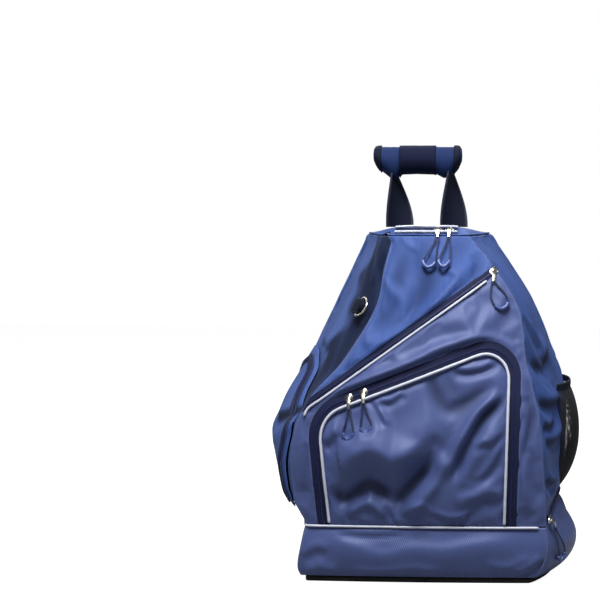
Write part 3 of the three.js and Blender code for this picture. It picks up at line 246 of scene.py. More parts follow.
def cross2(a, b):
    return a[0] * b[1] - a[1] * b[0]


def arch_path(grown, pieces=14):
    """The arch from its left foot to its right one: three straight runs joined by two arcs."""
    marks = [spot(mark) for mark in ARCH]
    sides = []
    for start, end in zip(marks, marks[1:]):
        run = unit(end - start)
        sides.append((start + np.array([-run[1], run[0]]) * grown, run))

    def foot(side):
        start, run = side
        return start + run * (BASE_HEIGHT - start[1]) / run[1]

    points = [foot(sides[0])]
    for k, radius in enumerate([ARCH_LEFT_RADIUS + grown, ARCH_RIGHT_RADIUS + grown]):
        (start, before), (other, after) = sides[k], sides[k + 1]
        tip = start + before * cross2(other - start, after) / cross2(before, after)
        half = math.acos(float(before @ after)) / 2
        inward = np.array([before[1], -before[0]])
        centre = tip - before * radius * math.tan(half) + inward * radius
        turn = math.atan2(-inward[1], -inward[0])
        for i in range(pieces + 1):
            angle = turn - 2 * half * i / pieces
            points.append(centre + radius * np.array([math.cos(angle), math.sin(angle)]))
    points.append(foot(sides[2]))
    return np.array(points)


def evenly(points, step):
    """A polyline's points again, at even distances of about one step."""
    points = np.asarray(points, float)
    gaps = np.linalg.norm(np.diff(points, axis=0), axis=1)
    far = np.concatenate([[0], np.cumsum(gaps)])
    count = max(int(round(far[-1] / step)), 1)
    at = np.linspace(0, far[-1], count + 1)
    return np.stack([np.interp(at, far, points[:, k]) for k in range(points.shape[1])], -1)


def slanted_run(moved, step, start=0.0, end=1.0):
    """The slanted line, moved, from corner to corner of the front wall, or part of it."""
    xs = np.linspace(-0.19, 0.11, 600)
    zs = slant_height(xs, moved)
    share = front_share(xs, zs)
    low, high = np.interp([0.0, 1.0], share, xs)
    ends = low + (high - low) * np.array([start, end])
    return evenly(np.stack([ends, slant_height(ends, moved)], -1), step)


print("the arch is", round(float(arch_path(0)[:, 1].max() - BASE_HEIGHT), 3), "m high")

# %% [markdown]
# ## The pull cords
# Each zip slider carries a loop of thin cord with a bent plastic sleeve on it. A cord hangs from its eye under
# its own weight, so its route is listed, repeated here from the CAD, and only then made into a tube.

# %% Places of the sliders
PIPING_GAP = 0.9 * MM
TAPE = 1.2 * MM
TAPE_DEPTH = 0.9 * MM
DOOR_RISE = 24 * MM
DOOR_BULGE = 26 * MM
DOOR_TAPE_WIDTH = 12 * MM
DOOR_TAPE_LIFT = TAPE + PIPING_GAP
SOLE_HEIGHT = 8 * MM
BASE_LOW = SOLE_HEIGHT + SEAM
BASE_HIGH = BASE_HEIGHT - SEAM
EYE_DROP = 11 * MM
PULL_CORD = 2.4 * MM
SLEEVE_WALL = 1.1 * MM
SLEEVE_CLEARANCE = 0.35 * MM
PULL_CLEAR = PULL_CORD / 2 + SLEEVE_CLEARANCE + SLEEVE_WALL + SEAM
WALL_HIGH = BODY_TOP - CLOTH - SEAM


def door_top(s):
    """Height of the end door's arch over the right wall's length."""
    return BASE_HEIGHT + DOOR_RISE * np.maximum(np.sin(np.pi * np.asarray(s, float)), 0) ** 0.7


def door_spot(s, z, lift=0.0):
    high = np.maximum(door_top(s) - SEAM, BASE_HIGH)
    v = np.clip((z - BASE_LOW) / (high - BASE_LOW), 0, 1)
    side = np.maximum(np.sin(np.pi * np.asarray(s, float)), 0) ** 0.7
    swell = DOOR_BULGE * side * np.maximum(np.sin(np.pi * (0.16 + 0.84 * v)), 0) ** 0.8
    return wall_point("right", s, z, swell + lift)


def door_zip_spot(s, across, lift):
    step = 0.01
    length = wall_length("right", BASE_HEIGHT)
    rise = door_top(s + step) - door_top(s - step)
    run = unit(np.stack(np.broadcast_arrays(2 * step * length, rise), -1))
    away = SEAM + across
    return wall_point("right", s - run[..., 1] * away / length, door_top(s) + run[..., 0] * away, lift)


def front_height_on(line, x):
    return float(np.interp(x, line[:, 0], line[:, 1]))


def beside_front(x, z):
    return lambda right, drop, away: front_spot(x + right, z - EYE_DROP - drop, away)


def beside_top(x):
    return lambda right, drop, away: front_spot(x + right, WALL_HIGH - drop, away)


def beside_door(s):
    seat = door_zip_spot(s, DOOR_TAPE_WIDTH / 2, DOOR_TAPE_LIFT)
    length = wall_length("right", BASE_HEIGHT)
    return lambda right, drop, away: door_spot(s + (right + 4 * MM) / length, seat[2] - EYE_DROP - drop, away)


# The CAD finds the sliders' heights on its own coarser arches, so these use the same few pieces.
ARCH_MIDDLE = arch_path(ARCH_TAPE_WIDTH / 2, ARC_PIECES)
SLIDER_X = {"top_left": 12, "top_right": 27, "slanted": 87, "arched_left": -99, "arched_right": -80}
SLIDER_Z = {
    "slanted": slant_height(87 * MM, SLANT_TAPE_WIDTH / 2),
    "arched_left": front_height_on(ARCH_MIDDLE, -99 * MM),
    "arched_right": front_height_on(ARCH_MIDDLE, -80 * MM),
}
DOOR_SLIDER = 0.035  # share of the door's arch
BESIDE = {
    "top_left": beside_top(SLIDER_X["top_left"] * MM),
    "top_right": beside_top(SLIDER_X["top_right"] * MM),
    "end_door": beside_door(DOOR_SLIDER),
}
for label, height in SLIDER_Z.items():
    BESIDE[label] = beside_front(SLIDER_X[label] * MM, height)
print("sliders on the front at heights", {k: round(float(v), 3) for k, v in SLIDER_Z.items()})

# %% The cords' routes
# Each route is a loop from the eye and back to it: right of the eye, below it and away from the wall, in metres.
PULL_ROUTES = {
    "top_left": [
        (-0.0017, 0.001, 0.0038), (-0.005, 0.009, 0.0022), (-0.010, 0.018, 0.002), (-0.0155, 0.026, 0.0016),
        (-0.018, 0.033, 0.0014), (-0.012, 0.0395, 0.0014), (-0.0045, 0.0365, 0.0014), (-0.0015, 0.029, 0.0016),
        (-0.0005, 0.019, 0.002), (0.0006, 0.009, 0.0022), (0.0017, 0.001, 0.0038),
    ],
    "top_right": [
        (-0.0017, 0.001, 0.0038), (-0.0035, 0.009, 0.004), (-0.007, 0.018, 0.005), (-0.011, 0.027, 0.0055),
        (-0.0115, 0.034, 0.0058), (-0.006, 0.0385, 0.0058), (0.0002, 0.034, 0.0056), (0.0026, 0.027, 0.0052),
        (0.0025, 0.018, 0.0046), (0.002, 0.009, 0.0038), (0.0017, 0.001, 0.0038),
    ],
    "slanted": [
        (-0.0017, 0.001, 0.0038), (-0.003, 0.008, 0.0024), (-0.004, 0.016, 0.002), (-0.002, 0.0245, 0.0016),
        (0.0025, 0.032, 0.0014), (0.0095, 0.0365, 0.0014), (0.017, 0.033, 0.0014), (0.019, 0.025, 0.0016),
        (0.0145, 0.016, 0.002), (0.007, 0.008, 0.0024), (0.0017, 0.001, 0.0038),
    ],
    "arched_left": [
        (-0.0017, 0.001, 0.0038), (-0.002, 0.009, 0.0026), (-0.0035, 0.019, 0.002), (-0.0065, 0.028, 0.0016),
        (-0.0065, 0.036, 0.0014), (-0.0015, 0.041, 0.0014), (0.004, 0.038, 0.0014), (0.006, 0.030, 0.0016),
        (0.0045, 0.019, 0.002), (0.003, 0.009, 0.0026), (0.0017, 0.001, 0.0038),
    ],
    "arched_right": [
        (-0.0017, 0.001, 0.0038), (-0.0018, 0.009, 0.0026), (-0.002, 0.019, 0.002), (-0.003, 0.027, 0.0016),
        (-0.0025, 0.035, 0.0014), (0.003, 0.040, 0.0014), (0.009, 0.036, 0.0014), (0.0105, 0.028, 0.0016),
        (0.0075, 0.019, 0.002), (0.004, 0.009, 0.0026), (0.0017, 0.001, 0.0038),
    ],
    "end_door": [
        (-0.0017, 0.001, 0.0038), (-0.001, 0.009, 0.002), (0.0005, 0.019, 0.0016), (0.0035, 0.032, 0.0014),
        (0.0085, 0.043, 0.0014), (0.015, 0.048, 0.0014), (0.0195, 0.043, 0.0014), (0.0175, 0.032, 0.0014),
        (0.011, 0.020, 0.0016), (0.0055, 0.009, 0.002), (0.0017, 0.001, 0.0038),
    ],
}


def smooth_through(points, step, closed=False):
    """A centripetal curve through the points, as even points at about one step apart."""
    points = np.asarray(points, float)
    if closed:
        padded = np.vstack([points[-1], points, points[0], points[1]])
    else:
        padded = np.vstack([2 * points[0] - points[1], points, 2 * points[-1] - points[-2]])
    out = []
    for p0, p1, p2, p3 in zip(padded, padded[1:], padded[2:], padded[3:]):
        t1 = np.linalg.norm(p1 - p0) ** 0.5
        t2 = t1 + np.linalg.norm(p2 - p1) ** 0.5
        t3 = t2 + np.linalg.norm(p3 - p2) ** 0.5
        t = np.linspace(t1, t2, 12, endpoint=False)[:, None]
        a1 = (t1 - t) / t1 * p0 + t / t1 * p1
        a2 = (t2 - t) / (t2 - t1) * p1 + (t - t1) / (t2 - t1) * p2
        a3 = (t3 - t) / (t3 - t2) * p2 + (t - t2) / (t3 - t2) * p3
        b1 = (t2 - t) / t2 * a1 + t / t2 * a2
        b2 = (t3 - t) / (t3 - t1) * a2 + (t - t1) / (t3 - t1) * a3
        out.append((t2 - t) / (t2 - t1) * b1 + (t - t1) / (t2 - t1) * b2)
    end = points[:1] if closed else points[-1:]
    return evenly(np.vstack(out + [end]), step)


def length_of(points):
    return float(np.linalg.norm(np.diff(points, axis=0), axis=1).sum())


CORD_LINES = {}
for label, route in PULL_ROUTES.items():
    knots = [BESIDE[label](right, drop, PULL_CLEAR + away) for right, drop, away in route]
    CORD_LINES[label] = smooth_through(knots, 1.2 * MM)
    print(label, "pull cord:", round(length_of(CORD_LINES[label]), 4), "m")

# %% [markdown]
# ## Making and placing pieces
# Every visible piece is a mesh made from arrays of points and faces. One helper makes the object, stores three facts
# on its points for the finishes (where each point lies on the flat cloth, in metres, how near it is to an edge, and how
# much painted shade a fold puts into its colour), and hides the CAD solid that the piece stands for.

# %% From points and faces to a dressed piece
FINISHES = {}


def piece(name, points, faces, finish, node=None, place=None, edge=None, smooth=True, crease=None):
    """A mesh object that rides on the bag. place: flat cloth coordinates. edge, and crease as painted shade: 1 there, 0
    away.
    """
    mesh = bpy.data.meshes.new(name)
    mesh.from_pydata([tuple(p) for p in np.asarray(points, float)], [], [tuple(map(int, f)) for f in faces])
    mesh.validate()
    if smooth:
        mesh.polygons.foreach_set("use_smooth", [True] * len(mesh.polygons))
    count = len(mesh.vertices)
    flat = np.zeros((count, 3))
    if place is not None:
        flat[:, : np.shape(place)[1]] = place
    mesh.attributes.new("cloth_place", "FLOAT_VECTOR", "POINT").data.foreach_set("vector", flat.ravel())
    # the second fact is the painted shade that a fold puts into the colour, 1 at its darkest
    for label, near in ("edge_near", edge), ("painted_shade_near", crease):
        near = np.zeros(count) if near is None else np.ravel(near).astype(float)
        mesh.attributes.new(label, "FLOAT", "POINT").data.foreach_set("value", near)
    made = bpy.data.objects.new(name, mesh)
    bpy.context.scene.collection.objects.link(made)
    FINISHES.setdefault(finish, []).append(made)
    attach(made, "root")
    if node:
        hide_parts(*([node] if isinstance(node, str) else node))
    print(f"{name}: {len(mesh.vertices)} points, {len(mesh.polygons)} faces")
    return made


def grid_faces(columns, rows, closed=False):
    """Faces of a grid of (columns + 1) by (rows + 1) points, stored row by row."""
    wide = columns if closed else columns + 1
    i, j = np.meshgrid(np.arange(columns), np.arange(rows))
    a = j * wide + i
    b = j * wide + (i + 1) % wide
    return np.stack([a, b, b + wide, a + wide], -1).reshape(-1, 4)


def thicken(made, thickness):
    """Cloth gets its thickness inwards."""
    shell = made.modifiers.new("thickness", "SOLIDIFY")
    shell.thickness = thickness
    shell.offset = -1
    shell.use_quality_normals = True
    return made


# %% Tubes and bands along a line


def frames_along(points, up=(0, 0, 1), closed=False):
    """At each point of a line: its direction, and two directions across it that don't spin."""
    points = np.asarray(points, float)
    if closed:
        run = unit(np.roll(points, -1, 0) - np.roll(points, 1, 0))
    else:
        run = unit(np.gradient(points, axis=0))
    side = np.zeros_like(points)
    start = np.cross(run[0], up)
    side[0] = unit(start if np.linalg.norm(start) > 0.1 else np.cross(run[0], (1, 0, 0)))
    for k in range(1, len(points)):
        side[k] = unit(side[k - 1] - run[k] * (side[k - 1] @ run[k]))
    return run, side, np.cross(run, side)


def tube_mesh(points, radius, rim=10, closed=False, flat=1.0, up=(0, 0, 1)):
    """A round tube along a line. radius may change from point to point."""
    points = np.asarray(points, float)
    _, side, other = frames_along(points, up, closed)
    radius = np.broadcast_to(radius, len(points))[:, None, None]
    turn = np.linspace(0, 2 * np.pi, rim, endpoint=False)[None, :, None]
    ring = points[:, None] + radius * (np.cos(turn) * side[:, None] + flat * np.sin(turn) * other[:, None])
    count = len(points)
    faces = []
    rows = count if closed else count - 1
    for k in range(rows):
        for i in range(rim):
            j, n = (i + 1) % rim, (k + 1) % count
            faces.append((k * rim + i, k * rim + j, n * rim + j, n * rim + i))
    if not closed:
        faces.append(tuple(range(rim))[::-1])
        faces.append(tuple((count - 1) * rim + i for i in range(rim)))
    run = np.concatenate([[0], np.cumsum(np.linalg.norm(np.diff(points, axis=0), axis=1))])
    wide = 2 * np.pi * float(radius.mean())
    place = np.stack(np.broadcast_arrays(np.arange(rim)[None, :] / rim * wide, run[:, None]), -1)
    return ring.reshape(-1, 3), faces, place.reshape(-1, 2)

# %% [markdown]
# ## Folds
# Cloth that is held at its seams and filled from inside folds along crests and valleys. The large folds of this
# bag are strokes: a line on the wall, a height, and how far the fold reaches above and below its line. A steep
# lower side turns away from the lamp and goes dark, a gentle upper side stays bright, as satin-like nylon does.
# Every fold fades out at the seams, because there the cloth is held by its stitches.

# %% Strokes
ACROSS_AXIS = {"front": (0, 1), "right": (1, 1), "back": (0, -1), "left": (1, -1)}


def across_wall(wall, s, z):
    """Metres along the wall, left to right as seen from outside."""
    axis, sign = ACROSS_AXIS[wall]
    return wall_point(wall, s, z)[..., axis] * sign


def nearest_on(line, a, z):
    """Signed distance to a line (positive on its left), and how far along it the nearest point is, 0 to 1."""
    shape = np.shape(a)
    spots = np.stack([np.ravel(a), np.ravel(z)], -1)
    best = np.full(len(spots), 1e9)
    side, along = np.zeros(len(spots)), np.zeros(len(spots))
    pieces = len(line) - 1
    for k in range(pieces):
        start, run = line[k], line[k + 1] - line[k]
        offset = spots - start
        t = np.clip(offset @ run / (run @ run), 0, 1)
        gap = offset - t[:, None] * run
        far = np.hypot(gap[:, 0], gap[:, 1])
        closer = far < best
        best = np.where(closer, far, best)
        side = np.where(closer, np.sign(run[0] * offset[:, 1] - run[1] * offset[:, 0]), side)
        along = np.where(closer, (k + t) / pieces, along)
    return (best * np.where(side < 0, -1, 1)).reshape(shape), along.reshape(shape)


def smoothstep(low, high, value):
    t = np.clip((value - low) / (high - low), 0, 1)
    return t * t * (3 - 2 * t)


FOLDS = {wall: [] for wall in [*WALLS, "base", "pouch"]}
STROKE_STEP = 6 * MM


def fold(wall, height, above, below, *marks):
    """A crest, or with a height below 0 a valley, along marks (across, up) drawn from left to right. Millimetres."""
    line = smooth_through(np.array(marks) * MM, STROKE_STEP)
    FOLDS[wall].append(("crest", height * MM, above * MM, below * MM, line))


def shade(wall, height, reach, *marks):
    """A slope that faces down, with a crest above its line and a valley below it. Millimetres."""
    line = smooth_through(np.array(marks) * MM, STROKE_STEP)
    FOLDS[wall].append(("slope", height * MM, reach * MM, reach * MM, line))


DEEPER = 1.5  # all strokes together: loosely filled cloth folds deeper than its first drawing


def folds_at(wall, a, z):
    total = np.zeros(np.shape(a))
    for kind, height, above, below, line in FOLDS[wall]:
        away, along = nearest_on(line, a, z)
        fade = smoothstep(0, 0.22, np.minimum(along, 1 - along))
        reach = np.where(away > 0, above, below)
        if kind == "crest":
            total += height * fade * np.exp(-((away / reach) ** 2))
        else:
            total += height * fade * (away / reach) * np.exp(0.5 - 0.5 * (away / reach) ** 2)
    return total * DEEPER


# The arched flap: an M-shaped crest over a wide shaded slope, and the valley and the lump below it.
fold("front", 6, 26, 15, (-135, 167), (-108, 169), (-94, 178), (-73, 188), (-57, 182), (-40, 170),
     (-21, 181), (-4, 198), (12, 207), (24, 199), (29, 182), (27, 164))
shade("front", 5, 19, (-127, 141), (-105, 137), (-89, 148), (-72, 157), (-55, 147), (-40, 139),
     (-26, 149), (-9, 168), (6, 186))
fold("front", -5, 12, 9, (-126, 134), (-116, 120), (-107, 110), (-90, 117), (-72, 127), (-59, 121),
     (-48, 104))
fold("front", 5, 9, 7, (-104, 90), (-91, 102), (-75, 108), (-61, 101), (-50, 86))
fold("front", -4, 9, 8, (-48, 103), (-33, 111), (-19, 128), (-4, 145), (8, 165), (14, 182))
fold("front", 6.5, 13, 9, (-29, 88), (-12, 105), (5, 126), (16, 141), (23, 165), (28, 182))
# A deep valley from the upper right, the soft swirl above it, and puckers at the piping and the waist.
shade("front", 5.5, 6.5, (30, 134), (37, 156), (45, 179), (60, 206), (70, 223), (85, 238), (106, 254))
fold("front", 3, 12, 12, (48, 114), (58, 154), (74, 185), (97, 219))
fold("front", -2.6, 9, 10, (4, 280), (13, 247), (28, 230), (47, 237), (68, 249), (96, 264))
shade("front", 2.2, 4.5, (32, 285), (47, 280), (69, 282), (95, 292))
shade("front", 2, 4.5, (-66, 243), (-47, 241), (-25, 254))
shade("front", 2, 4, (-71, 246), (-61, 230), (-49, 209))
shade("front", 2.4, 7, (-137, 180), (-119, 195), (-97, 210))
shade("front", 1.6, 5, (60, 180), (75, 188), (87, 189), (101, 206))
shade("front", 1.6, 5, (68, 135), (84, 154), (95, 173), (103, 195))
shade("front", 2.6, 9, (43, 97), (61, 111), (82, 118), (105, 108))
shade("front", 1.8, 4, (-50, 107), (-44, 93), (-38, 78))
fold("front", 2.2, 5, 6, (-36, 90), (-16, 105), (-1, 107), (13, 90))
shade("front", 1.6, 4, (6, 97), (27, 88), (48, 89), (66, 103))
# The slanted pocket: its cloth stands proud and dives to the arched zip; the strip beside the arch.
shade("front", 6, 8, (-142, 221), (-119, 241), (-95, 253), (-69, 262), (-41, 272), (-15, 284), (13, 300),
     (38, 309), (64, 314), (88, 307), (107, 292))
fold("front", 4, 22, 18, (-104, 268), (-62, 291), (-24, 315), (16, 338), (54, 348), (98, 343))
shade("front", 1.4, 4, (-86, 280), (-65, 291), (-41, 303))
fold("front", 2.6, 7, 7, (115, 287), (122, 244), (119, 193), (126, 143), (134, 86))
fold("front", -2.4, 6, 6, (127, 292), (135, 244), (134, 198), (139, 148), (147, 86))
shade("front", 1.6, 5, (109, 138), (120, 169), (132, 205), (138, 244))
fold("front", -2.4, 7, 7, (-162, 97), (-158, 137), (-152, 177), (-142, 214))
# The smooth upper panel: long folds that fan out from the top.
fold("front", 2, 12, 14, (-115, 278), (-93, 316), (-69, 360), (-55, 401), (-46, 440))
fold("front", -2, 12, 11, (-99, 276), (-74, 316), (-51, 358), (-38, 396), (-33, 440))
fold("front", 1.7, 11, 12, (-79, 291), (-50, 330), (-31, 368), (-20, 419))
fold("front", -1.7, 11, 11, (-55, 307), (-28, 342), (-8, 373), (9, 417))
fold("front", 1.7, 11, 11, (-29, 325), (-3, 355), (21, 381), (40, 425))
shade("front", 1.6, 8, (-3, 340), (25, 371), (48, 399), (58, 440))
shade("front", 1.4, 5, (46, 374), (56, 394), (61, 422))
# The base: one long crest that the load pushes out, and small folds at both ends.
fold("base", 3, 9, 24, (-150, 64), (-126, 59), (-101, 52), (-55, 39), (-17, 48), (24, 46), (65, 54),
     (97, 57), (133, 60))
shade("base", 1.4, 4, (-119, 69), (-72, 66), (-22, 70))
fold("base", 2, 8, 8, (-161, 7), (-141, 23), (-115, 12))
shade("base", 1.4, 6, (-162, 30), (-145, 45), (-126, 41))
fold("base", 1.5, 6, 7, (-105, 21), (-63, 16), (-17, 22), (32, 16))
fold("base", 1.6, 6, 6, (76, 31), (104, 24), (142, 41))
shade("base", 2, 5, (113, 10), (139, 22), (156, 38))
# The left side: a roll outside the gutter, and a soft fold above the pouch.
fold("left", 3, 18, 16, (-44, 436), (-32, 400), (-20, 360), (-4, 320), (16, 285))
shade("left", 1.6, 7, (-60, 300), (-20, 306), (30, 296))
fold("left", -4, 14, 14, (8, 442), (33, 395), (46, 336), (56, 290), (80, 240))
fold("left", -2, 8, 8, (66, 210), (74, 170), (86, 120))
# The right side: long smooth folds at the top, short dark ones towards the net pocket and the door.
fold("right", 2, 16, 16, (30, 430), (-6, 390), (-34, 346), (-46, 310))
fold("right", -2, 14, 12, (48, 420), (22, 377), (6, 337), (0, 300))
shade("right", 3, 12, (-92, 293), (-57, 284), (-14, 287), (36, 298))
shade("right", 2.2, 9, (-106, 241), (-66, 233), (-14, 238))
shade("right", 2, 7, (-108, 212), (-84, 205), (-50, 212))
shade("right", 2, 8, (-108, 190), (-80, 184), (-30, 191))
shade("right", 1.8, 6, (-106, 140), (-74, 128), (-46, 134))
print("strokes:", {wall: len(rows) for wall, rows in FOLDS.items()})

# %% [markdown]
# The left side's cloth is tucked in behind the front, all the way up. The seam there is pulled into the bag, and
# the cloth beside it lies in a deep fold that hardly any light reaches; the fold is sunk, and its colour is darkened
# with painted shade.

# %% The tucked fold beside the left front seam
GUTTER_DEPTH = 9 * MM
GUTTER_REACH = 10 * MM


def tucked_painted_shade(s, z):
    """Painted shade of the tucked fold over the left wall, 0 to 1: how far its cloth colour is darkened."""
    wander = 0.05 * np.sin(z / (19 * MM)) + 0.03 * np.sin(z / (7 * MM) + 1)
    inner = 0.8 + 0.2 * np.sin(s * 31 + z / (23 * MM))
    upright = smoothstep(205 * MM, 250 * MM, z) * (1 - 0.3 * smoothstep(435 * MM, 456 * MM, z))
    return smoothstep(0.5, 0.68, s + wander) * upright * inner


def painted_fold_shade(wall, s, z):
    """Painted shade on the steep side of each sloping stroke, 0 to 1: how far the cloth colour is darkened."""
    a = across_wall("left" if wall == "pouch" else wall, s, z)
    total = np.zeros(np.shape(a))
    for kind, height, reach, _, line in FOLDS[wall]:
        if kind == "slope":
            away, along = nearest_on(line, a, z)
            dark = smoothstep(0, 0.2, np.minimum(along, 1 - along)) * np.exp(-((away / reach) ** 2))
            total = np.maximum(total, dark)
    return total


def gutter(points):
    """How far points near the seam move into the bag."""
    z = points[..., 2]
    seam = wall_point("front", 0.0, z)
    inward = unit(unit(wall_point("front", 0.08, z) - seam) + unit(wall_point("left", 0.92, z) - seam))
    away = np.linalg.norm((points - seam)[..., :2], axis=-1)
    ends = smoothstep(245 * MM, 300 * MM, z) * (1 - smoothstep(442 * MM, 456 * MM, z))
    return inward * (GUTTER_DEPTH * ends * np.exp(-((away / GUTTER_REACH) ** 2)))[..., None]


# %% Where the cloth is held
SEAM_CALM = 9 * MM  # a fold grows from nothing to its height over this distance from a seam
PULL_CALM = 26 * MM
ARCH_INSIDE = arch_path(0)
ARCH_OUTSIDE = arch_path(ARCH_TAPE_WIDTH)


def held_front(x, z):
    """Distance from the nearest seam of the front wall."""
    slant = np.abs(z - slant_height(x, SLANT_TAPE_WIDTH / 2)) - SLANT_TAPE_WIDTH / 2
    arch_in, arch_out = (np.abs(nearest_on(line, x, z)[0]) for line in (ARCH_INSIDE, ARCH_OUTSIDE))
    share = front_share(x, z)
    wide = wall_length("front", BASE_HEIGHT)
    sides = np.minimum(share, 1 - share) * wide
    return np.minimum.reduce([slant, arch_in, arch_out, sides, z - BASE_HEIGHT, BODY_TOP - z])


def held_side(wall, s, z):
    low = door_top(s) + DOOR_TAPE_WIDTH if wall == "right" else BASE_HEIGHT
    return np.minimum.reduce([s * 0.2, (1 - s) * 0.2, z - low, BODY_TOP - z])


def calm_at(wall, s, z):
    """0 at a seam, 1 where the cloth is free."""
    if wall == "front":
        x = across_wall(wall, s, z)
        calm = smoothstep(0, SEAM_CALM, held_front(x, z))
        for label, line in CORD_LINES.items():
            if label != "end_door":
                middle = line.mean(0)
                far = np.hypot((x - middle[0]) * 1.3, z - middle[2])
                calm = calm * (0.25 + 0.75 * smoothstep(0.5 * PULL_CALM, PULL_CALM, far))
        return calm
    return smoothstep(0, SEAM_CALM, held_side(wall, s, z))


# %% [markdown]
# Between the large folds the real cloth is never quite flat. Those small uneven swells come from a short cloth
# simulation: each wall is pinned at its seams, grows a little and is pressed from inside, and what the solver
# finds is kept as a table of small movements that every piece on that wall then shares.

# %% Settling the cloth
SETTLE_FRAMES = 22
SETTLED = {}


def settle(wall, columns, rows, growth, pressure):
    """Simulates one wall and keeps how far each of its points moves outwards."""
    low, high = BASE_HEIGHT, BODY_TOP
    u, v = np.meshgrid(np.linspace(0, 1, columns + 1), np.linspace(0, 1, rows + 1))
    z = low + v * (high - low)
    calm = calm_at(wall, u, z)
    start = wall_point(wall, u, z, folds_at(wall, across_wall(wall, u, z), z) * calm)
    mesh = bpy.data.meshes.new("settling")
    mesh.from_pydata(start.reshape(-1, 3).tolist(), [], grid_faces(columns, rows).tolist())
    cloth = bpy.data.objects.new("settling", mesh)
    bpy.context.scene.collection.objects.link(cloth)
    seams = cloth.vertex_groups.new(name="seams")
    seams.add(np.flatnonzero(calm.ravel() < 0.08).tolist(), 1.0, "REPLACE")
    solver = cloth.modifiers.new("settling", "CLOTH")
    solver.settings.vertex_group_mass = "seams"
    solver.settings.quality = 5
    solver.settings.mass = 0.12
    solver.settings.tension_stiffness = 20
    solver.settings.compression_stiffness = 20
    solver.settings.bending_stiffness = 1.2
    solver.settings.shrink_min = -growth
    solver.settings.use_pressure = True
    solver.settings.uniform_pressure_force = pressure
    solver.settings.effector_weights.gravity = 0.15
    solver.collision_settings.use_collision = False
    solver.point_cache.frame_start = 1
    solver.point_cache.frame_end = SETTLE_FRAMES
    for number in range(1, SETTLE_FRAMES + 1):
        bpy.context.scene.frame_set(number)
    done = cloth.evaluated_get(bpy.context.evaluated_depsgraph_get())
    moved = np.empty(start.size)
    done.data.vertices.foreach_get("co", moved)
    out = normal_at(lambda a, b: wall_point(wall, a, low + b * (high - low)), u, v)
    push = ((moved.reshape(start.shape) - start) * out).sum(-1)
    bpy.data.objects.remove(cloth)
    bpy.context.scene.frame_set(1)
    SETTLED[wall] = push
    print(f"{wall} settled: moves {push.min() / MM:.1f} to {push.max() / MM:.1f} mm")


def settled_at(wall, s, z):
    """The simulation's small movement at any place, read smoothly from its table."""
    if wall not in SETTLED:
        return 0.0
    push = SETTLED[wall]
    rows, columns = push.shape
    x = np.clip(s, 0, 1) * (columns - 1)
    y = np.clip((z - BASE_HEIGHT) / (BODY_TOP - BASE_HEIGHT), 0, 1) * (rows - 1)
    i, j = np.clip(x.astype(int), 0, columns - 2), np.clip(y.astype(int), 0, rows - 2)
    fx, fy = x - i, y - j
    total = np.zeros(np.shape(s))
    for dj in (-1, 0, 1, 2):
        for di in (-1, 0, 1, 2):
            wx, wy = b_spline(fx - di), b_spline(fy - dj)
            total += wx * wy * push[np.clip(j + dj, 0, rows - 1), np.clip(i + di, 0, columns - 1)]
    return total


def b_spline(t):
    t = np.abs(t)
    return np.where(t < 1, 2 / 3 - t**2 + t**3 / 2, np.clip(2 - t, 0, None) ** 3 / 6)


settle("front", 64, 76, 0.02, 0.6)
settle("left", 44, 76, 0.03, 0.6)
settle("right", 44, 76, 0.03, 0.6)
settle("back", 50, 60, 0.01, 0.4)

# %% The cloth's height over the bare form
SETTLE_CAP = 4 * MM


def relief(wall, s, z):
    """Folds and small swells together."""
    small = np.clip(settled_at(wall, s, z), -SETTLE_CAP, SETTLE_CAP)
    return folds_at(wall, across_wall(wall, s, z), z) * calm_at(wall, s, z) + small


print("walls with small swells:", list(SETTLED))

# %% [markdown]
# ## Cloth of the front
# The front is three pieces of cloth with curved cut edges. Each is cut out as on a pattern: its outline first,
# then points inside it, and a Delaunay triangulation joins them. Rows of points close to the edge carry the
# rolled hem and the dimple of its stitch line. The flat pattern is then laid over the bag's form and its folds.

# %% Cutting a pattern
PATTERN_STEP = 2.9 * MM
HEM_RINGS = (0.8 * MM, 1.9 * MM, 3.2 * MM, 4.4 * MM)
HEM_ROLL = 1 * MM  # how far the cloth's edge rolls inwards
STITCH_INSET = 3.2 * MM
STITCH_DIMPLE = 0.4 * MM
WALL_LOW = BASE_HEIGHT + SEAM
VALLEY_DEPTH = 8 * MM  # a valley this deep gets the most painted shade in the cloth's colour
VALLEY_SHADE = 0.5


def inside(outline, points):
    """Which points lie in a closed outline, by counting the edges that a ray crosses."""
    crossings = np.zeros(len(points), int)
    for p, q in zip(outline, np.roll(outline, -1, 0)):
        spans = (p[1] > points[:, 1]) != (q[1] > points[:, 1])
        with np.errstate(divide="ignore", invalid="ignore"):
            x = p[0] + (points[:, 1] - p[1]) / (q[1] - p[1]) * (q[0] - p[0])
        crossings += spans & (points[:, 0] < x)
    return crossings % 2 == 1


